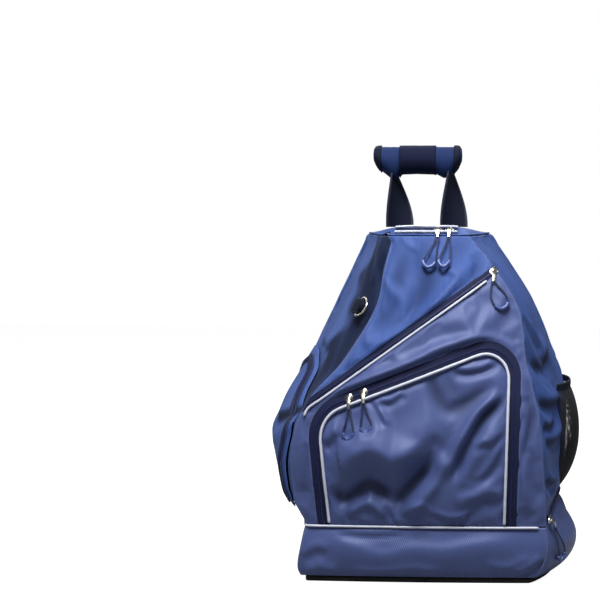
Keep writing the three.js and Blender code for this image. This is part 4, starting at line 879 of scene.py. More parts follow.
def pattern(outline):
    """Points, triangles and distances from the edge for a piece of cloth with this outline."""
    outline = evenly(np.vstack([outline, outline[:1]]), PATTERN_STEP)[:-1]
    closed = np.vstack([outline, outline[:1]])
    run = unit(np.roll(outline, -1, 0) - np.roll(outline, 1, 0))
    inward = np.stack([-run[:, 1], run[:, 0]], -1)
    rings = [outline + inward * away for away in HEM_RINGS]
    low, high = outline.min(0), outline.max(0)
    grid = []
    for k, z in enumerate(np.arange(low[1], high[1], PATTERN_STEP * 0.87)):
        x = np.arange(low[0] + (k % 2) * PATTERN_STEP / 2, high[0], PATTERN_STEP)
        grid.append(np.stack([x, np.full(len(x), z)], -1))
    kept = [outline]
    for away, points in [*zip(HEM_RINGS, rings), (HEM_RINGS[-1] + 0.6 * PATTERN_STEP, np.vstack(grid))]:
        points = points[inside(outline, points)]
        far = np.abs(nearest_on(closed, points[:, 0], points[:, 1])[0])
        kept.append(points[far > 0.93 * away])
    points = np.vstack(kept)
    count = len(outline)
    result = delaunay_2d_cdt([Vector(p) for p in points.tolist()], [], [list(range(count))], 1, 1e-7)
    flat = np.array([tuple(p) for p in result[0]])
    far = np.abs(nearest_on(closed, flat[:, 0], flat[:, 1])[0])
    return flat, [tuple(f) for f in result[2]], far


def hem(far):
    """The rolled edge and the stitch line's dimple."""
    roll = HEM_ROLL * np.clip(1 - far / (1.9 * MM), 0, 1) ** 2
    return -roll - STITCH_DIMPLE * np.exp(-(((far - STITCH_INSET) / MM) ** 2))


def front_cloth(name, outline, finish):
    flat, faces, far = pattern(outline)
    x, z = flat[:, 0], flat[:, 1]
    s = front_share(x, z)
    height = relief("front", s, z)
    rolled = 1 - smoothstep(WALL_HIGH - 6 * MM, WALL_HIGH - 2 * MM, z)  # the top edge lies flat
    points = wall_point("front", s, z, height + hem(far) * rolled)
    edge = np.clip(1 - far / (6 * MM), 0, 1)
    # Painted shade: valleys of the relief are darkened in the cloth's colour, over the shade the lamps give them.
    crease = VALLEY_SHADE * np.clip(-height / VALLEY_DEPTH, 0, 1)
    made = piece(name, points + gutter(points), faces, finish, name, flat, edge, crease=crease)
    return thicken(made, CLOTH)


def corner_run(side, low, high, step=4 * MM):
    """The front wall's corner line between two heights, side 0 for left and 1 for right."""
    z = np.linspace(low, high, max(int(abs(high - low) / step), 2))
    return np.stack([wall_point("front", float(side), z)[:, 0], z], -1)


# %% The three front pieces
upper_edge = slanted_run(SLANT_TAPE_WIDTH + SEAM, PATTERN_STEP)
upper_outline = np.vstack([
    upper_edge,
    corner_run(1, upper_edge[-1][1], WALL_HIGH)[1:],
    corner_run(0, WALL_HIGH, upper_edge[0][1])[:-1],
])
front_cloth("upper_front_panel", upper_outline, "smooth_cloth")

slant_edge = slanted_run(-SEAM, PATTERN_STEP)
arch_cut = arch_path(ARCH_TAPE_WIDTH + SEAM)
arch_cut[[0, -1], 1] = WALL_LOW
slant_outline = np.vstack([
    corner_run(0, WALL_LOW, WALL_LOW + MM)[:1],
    arch_cut,
    corner_run(1, WALL_LOW, slant_edge[-1][1]),
    slant_edge[::-1],
    corner_run(0, slant_edge[0][1], WALL_LOW)[1:-1],
])
front_cloth("slanted_pocket_panel", slant_outline, "twill")

flap_cut = arch_path(0)
flap_cut[[0, -1], 1] = WALL_LOW
front_cloth("arched_pocket_flap", flap_cut[::-1], "twill")

# %% [markdown]
# ## Cloth of the sides, back, top and base
# These walls have four edges each, so a plain grid of points fits them. The grid follows the same form and
# relief. At every edge the cloth rolls inwards to its seam, which draws the thin dark line between two walls.

# %% A four-sided piece of cloth
BACK_PADDING = 6 * MM
CORNER_INSET = 0.2 * MM
BACK_INSET = 0.3 * MM
GRID_STEP = 3.2 * MM


def inset_share(wall, u, z, at_start, at_end):
    """The share of a wall that lies between its insets."""
    ends = wall_point(wall, np.zeros_like(z), z), wall_point(wall, np.ones_like(z), z)
    length = np.linalg.norm(ends[1] - ends[0], axis=-1)
    return (at_start + u * (length - at_start - at_end)) / length


def grid_cloth(name, point, width, height, finish, thickness=CLOTH, node=None, step=GRID_STEP, rolled=True,
               crease=None):
    """A sheet over point(u, v). The rows next to its edges are closer together, for the rolled seam."""
    def shares(length):
        inner = np.linspace(0, 1, max(int(length / step), 4))
        near = np.array([0.8, 1.9, 3.2]) * MM / length
        return np.unique(np.round(np.concatenate([inner, near, 1 - near]), 6))

    us, vs = shares(width), shares(height)
    u, v = np.meshgrid(us, vs)
    surface = point(u, v)
    far = np.minimum(np.minimum(u, 1 - u) * width, np.minimum(v, 1 - v) * height)
    if rolled:
        surface = surface + normal_at(point, u, v) * hem(far)[..., None]
    place = np.stack([u * width, v * height], -1).reshape(-1, 2)
    edge = np.clip(1 - far / (6 * MM), 0, 1).ravel()
    faces = grid_faces(len(us) - 1, len(vs) - 1)
    made = piece(name, surface.reshape(-1, 3), faces, finish, node or name, place, edge,
                 crease=crease and crease(u, v))
    return thicken(made, thickness)


def left_place(u, v):
    z = WALL_LOW + v * (WALL_HIGH - WALL_LOW)
    return inset_share("left", u, z, BACK_INSET, CORNER_INSET), z


def left_wall(u, v):
    s, z = left_place(u, v)
    points = wall_point("left", s, z, relief("left", s, z))
    return points + gutter(points)


def door_share(u):
    return inset_share("right", u, np.full(np.shape(u), BASE_HEIGHT), CORNER_INSET, BACK_INSET)


def right_place(u, v):
    low = door_top(door_share(u)) + SEAM
    z = low + v * (WALL_HIGH - low)
    upper = inset_share("right", u, z, CORNER_INSET, BACK_INSET)
    return door_share(u) * (1 - v) + upper * v, z


def right_wall(u, v):
    s, z = right_place(u, v)
    return wall_point("right", s, z, relief("right", s, z))


def back_wall(u, v):
    z = WALL_LOW + v * (WALL_HIGH - WALL_LOW)
    return wall_point("back", u, z, relief("back", u, z))


# The left side's tucked fold and the right side's sloping strokes get painted shade, darkening the cloth's colour.
grid_cloth("left_side_panel", left_wall, 0.22, WALL_HIGH - WALL_LOW, "smooth_cloth",
           crease=lambda u, v: tucked_painted_shade(*left_place(u, v)))
grid_cloth("right_side_panel", right_wall, 0.22, WALL_HIGH - WALL_LOW, "smooth_cloth",
           crease=lambda u, v: 0.6 * painted_fold_shade("right", *right_place(u, v)))
grid_cloth("back_panel", back_wall, 0.33, WALL_HIGH - WALL_LOW, "smooth_cloth", BACK_PADDING)

# %% The base compartment
BASE_DOOR_GATHERS = 17  # pleats along the door's arch
GATHER_DEPTH = 1.7 * MM
GATHER_REACH = 20 * MM


def base_wall(wall, at_start, at_end):
    def point(u, v):
        z = BASE_LOW + v * (BASE_HIGH - BASE_LOW)
        s = inset_share(wall, u, z, at_start, at_end)
        lift = folds_at("base", across_wall(wall, s, z), z) if wall == "front" else 0.0
        return wall_point(wall, s, z, lift * smoothstep(0, SEAM_CALM, np.minimum(BASE_HIGH - z, z - BASE_LOW)))
    return point


def door_wall(u, v):
    s = door_share(u)
    high = np.maximum(door_top(s) - SEAM, BASE_HIGH)
    z = BASE_LOW + v * (high - BASE_LOW)
    wander = 0.5 * np.sin(9 * s + 1.3) + 0.3 * np.sin(23 * s)
    pleats = np.cos(2 * np.pi * (BASE_DOOR_GATHERS * s + wander * v))
    below = high - z
    side = smoothstep(0, 0.1, np.minimum(s, 1 - s))
    depth = GATHER_DEPTH * np.exp(-below / GATHER_REACH) * smoothstep(0, 3 * MM, below) * side
    return door_spot(s, z, pleats * depth)


grid_cloth("base_front_panel", base_wall("front", 0, 0), 0.32, BASE_HIGH - BASE_LOW, "twill")
grid_cloth("base_left_panel", base_wall("left", CORNER_INSET, CORNER_INSET), 0.21, BASE_HIGH - BASE_LOW,
           "twill")
grid_cloth("base_back_panel", base_wall("back", 0, 0), 0.33, BASE_HIGH - BASE_LOW, "twill")
grid_cloth("base_end_door", door_wall, 0.21, 0.09, "twill", step=2.2 * MM)

# %% The top
TOP_PROFILE = table(["back", "rise"], [0.0, 0.0], [0.1, 0.55], [0.24, 1.0], [0.6, 0.8], [1.0, 0.0])
TOP_ZIP_LENGTH = 84 * MM
TOP_ZIP_WIDTH = 18 * MM
TOP_ZIP_SETBACK = 4 * MM
TOP_ZIP_OFFSET = -4 * MM
TOP_ZIP_ENDS = (TOP_ZIP_OFFSET - TOP_ZIP_LENGTH / 2, TOP_ZIP_OFFSET + TOP_ZIP_LENGTH / 2)


def top_point(u, v):
    a, b = wall_point("front", u, BODY_TOP), wall_point("back", 1 - u, BODY_TOP)
    p = a + (b - a) * np.asarray(v, float)[..., None]
    rise = TOP_RISE * (1 - np.minimum(np.abs(2 * u - 1), 1) ** 6) * read(TOP_PROFILE, "back", "rise", v)
    return np.concatenate([p[..., :2], (BODY_TOP + rise)[..., None]], -1)


def top_front_edge(x):
    return front_spot(x, BODY_TOP)[..., 1]


def top_spot(x, y, lift=0.0):
    """The top's surface over a place in plan."""
    x, y = (np.array(a, float) for a in np.broadcast_arrays(x, y))
    u, v = np.full(x.shape, 0.5), np.full(x.shape, 0.1)
    for _ in range(12):
        p = top_point(u, v)
        right = (top_point(np.ones_like(u), v) - top_point(np.zeros_like(u), v))[..., 0]
        back = (top_point(u, np.ones_like(v)) - top_point(u, np.zeros_like(v)))[..., 1]
        u = np.clip(u + (x - p[..., 0]) / right, -0.2, 1.2)
        v = np.clip(v + (y - p[..., 1]) / back, 0, 1)
    return top_point(u, v) + normal_at(top_point, u, v) * np.asarray(lift, float)[..., None]


def top_cloth(name, outline, hole, finish):
    """The top's cloth, with the zip's opening cut out of its pattern."""
    flat, faces, far = pattern(outline)
    middle = flat[np.array(faces)].mean(1)
    kept = ~inside(hole, middle)
    faces = [f for f, keep in zip(faces, kept) if keep]
    used = np.unique(np.array(faces))
    index = {int(old): new for new, old in enumerate(used)}
    faces = [tuple(index[i] for i in f) for f in faces]
    flat, far = flat[used], far[used]
    closed_hole = np.vstack([hole, hole[:1]])
    far = np.abs(nearest_on(closed_hole, flat[:, 0], flat[:, 1])[0])
    points = top_spot(flat[:, 0], flat[:, 1], hem(far))
    edge = np.clip(1 - far / (6 * MM), 0, 1)
    return thicken(piece(name, points, faces, finish, name, flat, edge), CLOTH)


share = np.linspace(0, 1, 40)
top_outline = np.vstack([
    top_point(share, np.zeros(40))[:, :2],
    wall_point("right", np.linspace(0, 1, 20), BODY_TOP)[1:, :2],
    top_point(share[::-1], np.ones(40))[1:, :2],
    wall_point("left", np.linspace(0, 1, 20), BODY_TOP)[1:-1, :2],
])
zip_x = np.linspace(TOP_ZIP_ENDS[0] - SEAM, TOP_ZIP_ENDS[1] + SEAM, 30)
near_edge = np.stack([zip_x, top_front_edge(zip_x) + TOP_ZIP_SETBACK - SEAM], -1)
top_hole = np.vstack([near_edge, near_edge[::-1] + np.array([0, TOP_ZIP_WIDTH + 2 * SEAM])])
top_cloth("top_panel", top_outline, top_hole, "smooth_cloth")

# %% The sole: a black tray with rounded lower edges
SOLE_ROUNDING = 5 * MM
SOLE_THICKNESS = 3 * MM


def plan_ring(z, inset):
    parts = []
    for wall, pieces in [("front", 48), ("right", 36), ("back", 48), ("left", 32)]:
        s = np.arange(pieces) / pieces
        swell = DOOR_BULGE * 0.55 * np.sin(np.pi * s) ** 0.7 if wall == "right" else 0.0
        parts.append(wall_point(wall, s, SOLE_HEIGHT, swell))
    ring = np.vstack(parts)
    share = 1 - inset / np.minimum(np.abs(ring[:, 0]) + np.abs(ring[:, 1]) * 1e-3, HALF_DEPTH)
    x = ring[:, 0] * np.minimum(share, 1)
    return np.stack([x, ring[:, 1] * (1 - inset / HALF_DEPTH), np.full(len(x), z)], -1)


turns = np.linspace(0, np.pi / 2, 6)
SOLE_INSET = 4 * MM
sole_rings = [plan_ring(SOLE_ROUNDING * (1 - math.sin(t)) * 0.5, SOLE_INSET + SOLE_ROUNDING * (1 - math.cos(t)) * 0.6)
              for t in turns[::-1]]
sole_rings += [plan_ring(SOLE_HEIGHT, SOLE_INSET), plan_ring(SOLE_HEIGHT, SOLE_INSET + SOLE_THICKNESS),
               plan_ring(SOLE_THICKNESS, SOLE_INSET + SOLE_THICKNESS)]
rim = len(sole_rings[0])
sole_faces = [tuple(f) for f in grid_faces(rim, len(sole_rings) - 1, closed=True)]
sole_faces += [tuple(range(rim))[::-1], tuple((len(sole_rings) - 1) * rim + i for i in range(rim))]
sole_points = np.vstack(sole_rings)
piece("sole", sole_points, sole_faces, "sole", "sole", sole_points[:, :2])

# %% [markdown]
# ## The pouch and the net pocket
# The zipped pouch is a shell of cloth that is eased onto the left wall: flat at its edge and full in its middle.
# Its own folds come from the same strokes. The net pocket is a real net, made of thin strands with open diamonds
# between them, because a printed pattern would not let the light through at its edge.

# %% Pouch
POUCH_BULGE = 21 * MM
POUCH_LIFT = CLOTH + 3 * SEAM
POUCH = {"back": 0.08, "front": 0.94, "low": 0.06, "high": 0.58, "frontHigh": 0.36}

shade("pouch", 4, 9, (26, 208), (52, 213), (78, 223), (102, 236))
fold("pouch", 3, 14, 14, (-60, 200), (-10, 196), (40, 190), (80, 176))
fold("pouch", -2.5, 12, 12, (-60, 160), (-10, 166), (44, 150), (80, 130))


def eased(t):
    return (1 - np.cos(np.pi * np.asarray(t, float))) / 2


def hump(t, power):
    return np.maximum(4 * eased(t) * (1 - eased(t)), 0) ** power


def pouch_place(u, v):
    """Where the pouch's cloth lies over the left wall: share across it, and height."""
    across = POUCH["back"] + (POUCH["front"] - POUCH["back"]) * eased(u)
    top = POUCH["high"] - (POUCH["high"] - POUCH["frontHigh"]) * eased(u) ** 2
    return across, BASE_HEIGHT + (POUCH["low"] + (top - POUCH["low"]) * eased(v)) * WALL_HEIGHT


def pouch_point(u, v):
    across, z = pouch_place(u, v)
    swell = POUCH_BULGE * hump(u, 0.45) * hump(v, 0.6)
    sunk = relief("left", across, z) * (1 - hump(u, 0.45) * hump(v, 0.6))
    crease = folds_at("pouch", across_wall("left", across, z), z) * hump(u, 1) * hump(v, 1)
    points = wall_point("left", across, z, POUCH_LIFT + swell + crease + sunk)
    return points + gutter(points)


# The pouch's sloping stroke gets painted shade, darkening the cloth's colour.
grid_cloth("left_pouch", pouch_point, 0.17, 0.2, "smooth_cloth", step=2.6 * MM, rolled=False,
           crease=lambda u, v: 0.8 * painted_fold_shade("pouch", *pouch_place(u, v)))

# %% Net pocket
NET = 1 * MM
NET_STRAND = 0.9 * MM
NET_DIAMOND = 2.3 * MM
NET_BULGE = 18 * MM
NET_MOUTH = 11 * MM
NET_BINDING_HEIGHT = 10 * MM
NET_BINDING = 2.6 * MM
NET_LIFT = NET + SEAM
NET_POCKET = {"front": 0.36, "back": 0.93, "high": 0.475}
NET_SIZE = (0.125, 0.145)


def net_point(u, v, lift=0.0):
    s = NET_POCKET["front"] + (NET_POCKET["back"] - NET_POCKET["front"]) * eased(u)
    low = door_top(s) + DOOR_TAPE_WIDTH + 10 * SEAM
    high = BASE_HEIGHT + NET_POCKET["high"] * WALL_HEIGHT - NET_BINDING_HEIGHT
    z = low + v * (high - low)
    belly = NET_BULGE * np.maximum(np.sin(np.pi * np.asarray(v, float) ** 0.8), 0) ** 0.8 + NET_MOUTH * v**2
    return wall_point("right", s, z, NET_LIFT + hump(u, 0.6) * belly + lift)


columns, rows = (int(size / NET_DIAMOND) for size in NET_SIZE)
corners_u, corners_v = np.meshgrid(np.arange(2 * columns + 1), np.arange(2 * rows + 1))
knots = (corners_u + corners_v) % 2 == 0
number = np.full(knots.shape, -1)
number[knots] = np.arange(knots.sum())
net_u, net_v = corners_u[knots] / (2 * columns), corners_v[knots] / (2 * rows)
# The eased columns crowd towards the pocket's sides, so the knots are spread evenly again.
net_points = net_point(np.arccos(1 - 2 * net_u) / np.pi, net_v)
net_faces = [
    (number[j, i], number[j + 1, i + 1], number[j + 2, i], number[j + 1, i - 1])
    for j in range(2 * rows - 1) for i in range(1, 2 * columns) if (i + j) % 2 == 0
]
net = piece("net_pocket", net_points, net_faces, "net", "net_pocket", np.stack([net_u, net_v], -1), smooth=True)
strands = net.modifiers.new("strands", "WIREFRAME")
strands.thickness = NET_STRAND
strands.use_even_offset = False
strands.use_boundary = True


def net_rim(u, v):
    p = net_point(u, np.ones_like(u))
    away = net_point(u, np.ones_like(u), NET_BINDING - NET) - p
    p = p + away
    roll = (NET_BINDING * 0.4) * (2 * np.asarray(v, float) - 1) ** 4
    p = p - unit(away) * roll[..., None]
    p[..., 2] += SEAM + v * NET_BINDING_HEIGHT
    return p


grid_cloth("net_pocket_binding", net_rim, 0.13, NET_BINDING_HEIGHT, "webbing", NET_BINDING * 0.6,
           step=1.6 * MM, rolled=False)

# %% [markdown]
# ## Piping, zips and stitches
# Piping is a cord inside a strip of light cloth, sewn into a seam, so from outside it is a round bead. A zip is
# two woven tapes with a row of small teeth between them. Stitches are short threads that sink in at both ends.
# All of them run along lines that already exist, each at its own height over the cloth.

# %% Piping
PIPING_RADIUS = 2 * MM
PIPING_LIFT = PIPING_RADIUS + PIPING_GAP
WAIST_CLEARANCE = 2 * PIPING_RADIUS + 2 * SEAM


def piping(name, line, thickness=1.0):
    """A bead along a line, a little uneven, as sewn piping is."""
    line = evenly(line, 2.2 * MM)
    steps = np.arange(len(line))
    radius = PIPING_RADIUS * thickness * (0.97 + 0.05 * np.sin(steps * 0.9) * np.sin(steps * 0.23 + 1))
    radius[[0, -1]] *= 0.8
    points, faces, place = tube_mesh(line, radius, 12)
    return piece(name, points, faces, "piping", name, place)


def on_front(line, lift):
    return front_spot(line[:, 0], line[:, 1], lift)


slant_ends = np.array([spot(SLANT_LOW), spot(SLANT_HIGH)])
slant_ends[1] = slant_ends[0] + (slant_ends[1] - slant_ends[0]) * SLANT_PIPING_END
slant_run = np.vstack([spot(SLANT_HOOK), evenly(slant_ends, 20 * MM)])
piping("slanted_pocket_piping", smooth_through(on_front(slant_run, PIPING_LIFT), 2 * MM), 0.8)

arch_run = arch_path(0, ARC_PIECES)
arch_run[[0, -1], 1] += WAIST_CLEARANCE
arch_run = evenly(arch_run, 14 * MM)
piping("arched_pocket_piping", smooth_through(on_front(arch_run, PIPING_LIFT), 2 * MM))

WAIST_RUNS = [("front", 0.965, 0, 7), ("left", 1, 0, 5), ("back", 1, 0.04, 7)]  # wall, from, to, pieces


def waist_mark(run, i):
    wall, start, end, pieces = run
    return wall_point(wall, start + (end - start) * np.asarray(i, float) / pieces, BASE_HEIGHT)


waist_marks = np.vstack([waist_mark(WAIST_RUNS[0], [-1]), *(waist_mark(run, np.arange(run[3])) for run in WAIST_RUNS),
                         waist_mark(WAIST_RUNS[2], [7, 8])])
before = unit(waist_marks[1:-1] - waist_marks[:-2])
after = unit(waist_marks[2:] - waist_marks[1:-1])
along = unit(before + after)
out = np.stack([-along[:, 1], along[:, 0], np.zeros(len(along))], -1)
corner = np.maximum((along * before).sum(-1), 0.85)
waist_line = waist_marks[1:-1] + out * ((PIPING_RADIUS + SEAM) / corner)[:, None]
waist_line = evenly(waist_line, 3 * MM)
for _ in range(5):  # the bead rounds the bag's corners
    waist_line[1:-1] = (waist_line[:-2] + 2 * waist_line[1:-1] + waist_line[2:]) / 4
piping("waist_piping", waist_line, 0.8)

for label, setback in [("front", TOP_ZIP_SETBACK), ("back", TOP_ZIP_SETBACK + TOP_ZIP_WIDTH)]:
    x = np.linspace(*TOP_ZIP_ENDS, 7)
    line = top_spot(x, top_front_edge(x) + setback, np.full(7, PIPING_RADIUS + SEAM))
    piping(f"top_zip_{label}_piping", smooth_through(line, 2 * MM), 0.8)

# %% Zip tapes with their teeth
TOOTH_PITCH = 1.5 * MM
TOOTH = (1.9 * MM, 0.95 * MM, 0.9 * MM)  # across, along and above the tape
TAPE_COLUMNS = 8


def box_rows(middles, across, along, out, size):
    """One small rounded block at each place, as points and faces."""
    wide, long, high = size
    shape = np.array([
        (-0.5, -0.5, 0), (0.5, -0.5, 0), (0.5, 0.5, 0), (-0.5, 0.5, 0),
        (-0.36, -0.34, 1), (0.36, -0.34, 1), (0.36, 0.34, 1), (-0.36, 0.34, 1),
    ])
    points = (
        middles[:, None]
        + across[:, None] * (shape[None, :, :1] * wide)
        + along[:, None] * (shape[None, :, 1:2] * long)
        + out[:, None] * (shape[None, :, 2:] * high)
    )
    quads = np.array([(0, 1, 5, 4), (1, 2, 6, 5), (2, 3, 7, 6), (3, 0, 4, 7), (4, 5, 6, 7), (3, 2, 1, 0)])
    faces = (np.arange(len(middles))[:, None, None] * 8 + quads[None]).reshape(-1, 4)
    return points.reshape(-1, 3), faces


def zip_along(name, surface, length, width, ends=(0, 1)):
    """A zip on surface(along, across, lift): a tape with a groove under its teeth, and the row of teeth."""
    count = max(int(length / (2.5 * MM)), 8)
    t, w = np.meshgrid(np.linspace(0, 1, count + 1), np.linspace(0, 1, TAPE_COLUMNS + 1), indexing="ij")
    middle = 0.5 * MM * np.exp(-(((w - 0.5) * width / (1.6 * MM)) ** 2))
    points = surface(t, w, middle)
    place = np.stack([t * length, w * width], -1).reshape(-1, 2)
    edge = np.clip(1 - np.minimum(w, 1 - w) * width / (2 * MM), 0, 1).ravel()
    faces = grid_faces(TAPE_COLUMNS, count)
    sample = points.reshape(count + 1, TAPE_COLUMNS + 1, 3)
    facing = np.cross(sample[1, 0] - sample[0, 0], sample[0, 1] - sample[0, 0])
    centre = np.array([0, 0, sample[0, 0][2]])
    if facing @ (sample[0, 0] - centre) > 0:
        faces = faces[:, ::-1]
    tape = thicken(piece(name, points.reshape(-1, 3), faces, "zip_tape", name, place, edge), TAPE)
    teeth = np.arange(ends[0] * length, ends[1] * length, TOOTH_PITCH) / length
    half = np.full(len(teeth), 0.5)
    step = 0.5 * MM / length
    middles = surface(teeth, half, 0.55 * MM)
    run = unit(surface(np.minimum(teeth + step, 1), half, 0.0) - surface(np.maximum(teeth - step, 0), half, 0.0))
    side = unit(surface(teeth, half + 0.1, 0.0) - surface(teeth, half - 0.1, 0.0))
    out = unit(surface(teeth, half, MM) - surface(teeth, half, 0.0))
    points, faces = box_rows(middles, side, run, out, TOOTH)
    piece(name.replace("tape", "teeth"), points, faces, "zip_teeth", smooth=False)
    return tape


def between(line_a, line_b, lift_at):
    """A surface on the front between two lines, from the first to the second."""
    far_a, far_b = (np.linspace(0, 1, len(line)) for line in (line_a, line_b))

    def surface(t, w, lift):
        a = np.stack([np.interp(t, far_a, line_a[:, k]) for k in (0, 1)], -1)
        b = np.stack([np.interp(t, far_b, line_b[:, k]) for k in (0, 1)], -1)
        flat = a + (b - a) * np.asarray(w, float)[..., None]
        return front_spot(flat[..., 0], flat[..., 1], lift_at + lift)

    return surface


TUCKED = 2 * MM  # a tape's edges reach under the cloth
slant_zip = between(slanted_run(-TUCKED, 3 * MM), slanted_run(SLANT_TAPE_WIDTH + TUCKED, 3 * MM), -TAPE_DEPTH)
zip_along("slanted_pocket_zip_tape", slant_zip, length_of(slanted_run(0, 3 * MM)), SLANT_TAPE_WIDTH)
arch_zip = between(evenly(arch_path(-TUCKED), 3 * MM), evenly(arch_path(ARCH_TAPE_WIDTH + TUCKED), 3 * MM), -TAPE_DEPTH)
zip_along("arched_pocket_zip_tape", arch_zip, length_of(arch_path(ARCH_TAPE_WIDTH / 2)), ARCH_TAPE_WIDTH)


def top_zip(t, w, lift):
    x = TOP_ZIP_ENDS[0] + (TOP_ZIP_ENDS[1] - TOP_ZIP_ENDS[0]) * t
    lift = np.broadcast_to(lift, np.shape(x)) - TAPE_DEPTH
    return top_spot(x, top_front_edge(x) + TOP_ZIP_SETBACK + TOP_ZIP_WIDTH * w, lift)


zip_along("top_zip_tape", top_zip, TOP_ZIP_LENGTH, TOP_ZIP_WIDTH)
DOOR_ZIP = (0.035, 0.93)


def door_zip(t, w, lift):
    s = DOOR_ZIP[0] + (DOOR_ZIP[1] - DOOR_ZIP[0]) * np.asarray(t, float)
    return door_zip_spot(s, DOOR_TAPE_WIDTH * w, DOOR_TAPE_LIFT + lift)


zip_along("end_door_zip_tape", door_zip, 0.2, DOOR_TAPE_WIDTH)

POUCH_TAPE_WIDTH = 12 * MM
POUCH_TAPE_LIFT = 1.6 * MM
POUCH_ZIP = [
    (0.86, 0.14), (0.86, 0.3), (0.86, 0.45), (0.86, 0.6), (0.84, 0.74), (0.74, 0.84), (0.6, 0.87), (0.45, 0.87),
    (0.3, 0.85), (0.17, 0.77), (0.14, 0.6), (0.14, 0.4), (0.14, 0.2),
]
pouch_rows = table(["at", "u", "v"], *[(i / (len(POUCH_ZIP) - 1), u, v) for i, (u, v) in enumerate(POUCH_ZIP)])


def pouch_zip(t, w, lift):
    t = np.asarray(t, float)

    def spot_at(a):
        return pouch_point(read(pouch_rows, "at", "u", a), read(pouch_rows, "at", "v", a))

    u, v = read(pouch_rows, "at", "u", t), read(pouch_rows, "at", "v", t)
    run = unit(spot_at(np.minimum(t + 0.02, 1)) - spot_at(np.maximum(t - 0.02, 0)))
    out = normal_at(pouch_point, u, v)
    side = unit(np.cross(out, run))
    rise = np.broadcast_to(POUCH_TAPE_LIFT + lift, t.shape)[..., None]
    return spot_at(t) + out * rise + side * ((0.5 - w) * POUCH_TAPE_WIDTH)[..., None]


zip_along("left_pouch_zip_tape", pouch_zip, 0.4, POUCH_TAPE_WIDTH)

# %% Stitches
STITCH = (0.75 * MM, 2.6 * MM)  # thickness and length of one stitch
STITCH_GAP = 1.1 * MM


def stitches(name, points, out, finish="thread"):
    """Short threads along a line, each sunk at both ends."""
    points, out = np.asarray(points, float), np.asarray(out, float)
    both = evenly(np.hstack([points, out * 1e-6]), STITCH[1] + STITCH_GAP)
    middles, out = both[:, :3], unit(both[:, 3:])
    run = unit(np.gradient(middles, axis=0))
    side = unit(np.cross(run, out))
    profile = [(-0.5, 0.25, -0.5), (-0.2, 0.95, 0.25), (0.2, 0.95, 0.25), (0.5, 0.25, -0.5)]
    rings = []
    for t, share, rise in profile:
        for turn in (0.25, 0.75, 1.25, 1.75):
            c, s = math.cos(turn * math.pi), math.sin(turn * math.pi)
            middle = middles + run * (t * STITCH[1]) + out * (rise * STITCH[0])
            rings.append(middle + side * (c * share * STITCH[0] * 0.7) + out * (s * share * STITCH[0] * 0.7))
    each = np.stack(rings, 1)
    quads = [(4 * k + i, 4 * k + (i + 1) % 4, 4 * k + 4 + (i + 1) % 4, 4 * k + 4 + i) for k in range(3) for i in range(4)]
    quads += [(3, 2, 1, 0), (12, 13, 14, 15)]
    faces = (np.arange(len(middles))[:, None, None] * 16 + np.array(quads)[None]).reshape(-1, 4)
    return piece(name, each.reshape(-1, 3), faces, finish, smooth=True)


def front_stitches(name, line):
    """Stitches along a flat line of the front, lying in the dimple of the cloth."""
    line = evenly(line, 1.5 * MM)
    x, z = line[:, 0], line[:, 1]
    s = front_share(x, z)
    lift = relief("front", s, z) - STITCH_DIMPLE + 0.15 * MM
    low, high = wall_point("front", s, z, lift), wall_point("front", s, z, lift + MM)
    return stitches(name, low, unit(high - low))


front_stitches("arched_flap_stitches", arch_path(-STITCH_INSET - PIPING_RADIUS))
front_stitches("arched_zip_stitches", arch_path(ARCH_TAPE_WIDTH + STITCH_INSET))
front_stitches("slanted_pocket_stitches", slanted_run(-STITCH_INSET - PIPING_RADIUS, MM, 0.04, 0.98))
front_stitches("slanted_zip_stitches", slanted_run(SLANT_TAPE_WIDTH + STITCH_INSET, MM, 0.02, 0.98))

# %% [markdown]
# ## The grab handle
# The grip is foam inside cloth, wrapped round a loop of webbing, with a darker band round its middle and bound
# ends. Its lower edge hangs down where the webbing goes in. The section is a rounded form whose height and depth
# change along the grip, and the wraps are the same form, a little larger.

# %% Grip
WEBBING_WIDTH = 38 * MM
WEBBING = 2.4 * MM
GRIP_LENGTH = 118 * MM
GRIP_HEIGHT = 37 * MM
GRIP_DEPTH = 42 * MM
GRIP_TOP = 572 * MM
GRIP_MIDDLE = -18 * MM
GRIP_CENTRE = GRIP_TOP - GRIP_HEIGHT / 2
HANDLE_SETBACK = 34 * MM
HANDLE_ENDS = {"left": (-43 * MM, -51 * MM), "right": (31 * MM, 26 * MM)}  # foot and grip
GRIP_BAND_LENGTH = 50 * MM
GRIP_CLEARANCE = 0.6 * MM
GRIP_BAND = 1.4 * MM
BINDING_WIDTH = 9 * MM
BINDING = 1.6 * MM
GRIP_SECTIONS = table(
    ["along", "high", "low", "deep"],
    [-1.0, 0.46, -0.08, 0.86],
    [-0.9, 0.5, -0.3, 0.96],
    [-0.62, 0.5, -0.66, 0.9],
    [-0.5, 0.5, -0.72, 0.86],
    [-0.36, 0.5, -0.46, 0.94],
    [0.0, 0.5, -0.44, 1.0],
    [0.38, 0.5, -0.46, 0.94],
    [0.6, 0.5, -0.64, 0.86],
    [0.74, 0.5, -0.6, 0.9],
    [0.92, 0.5, -0.3, 0.96],
    [1.0, 0.46, -0.08, 0.86],
)
GRIP_RIM = 48


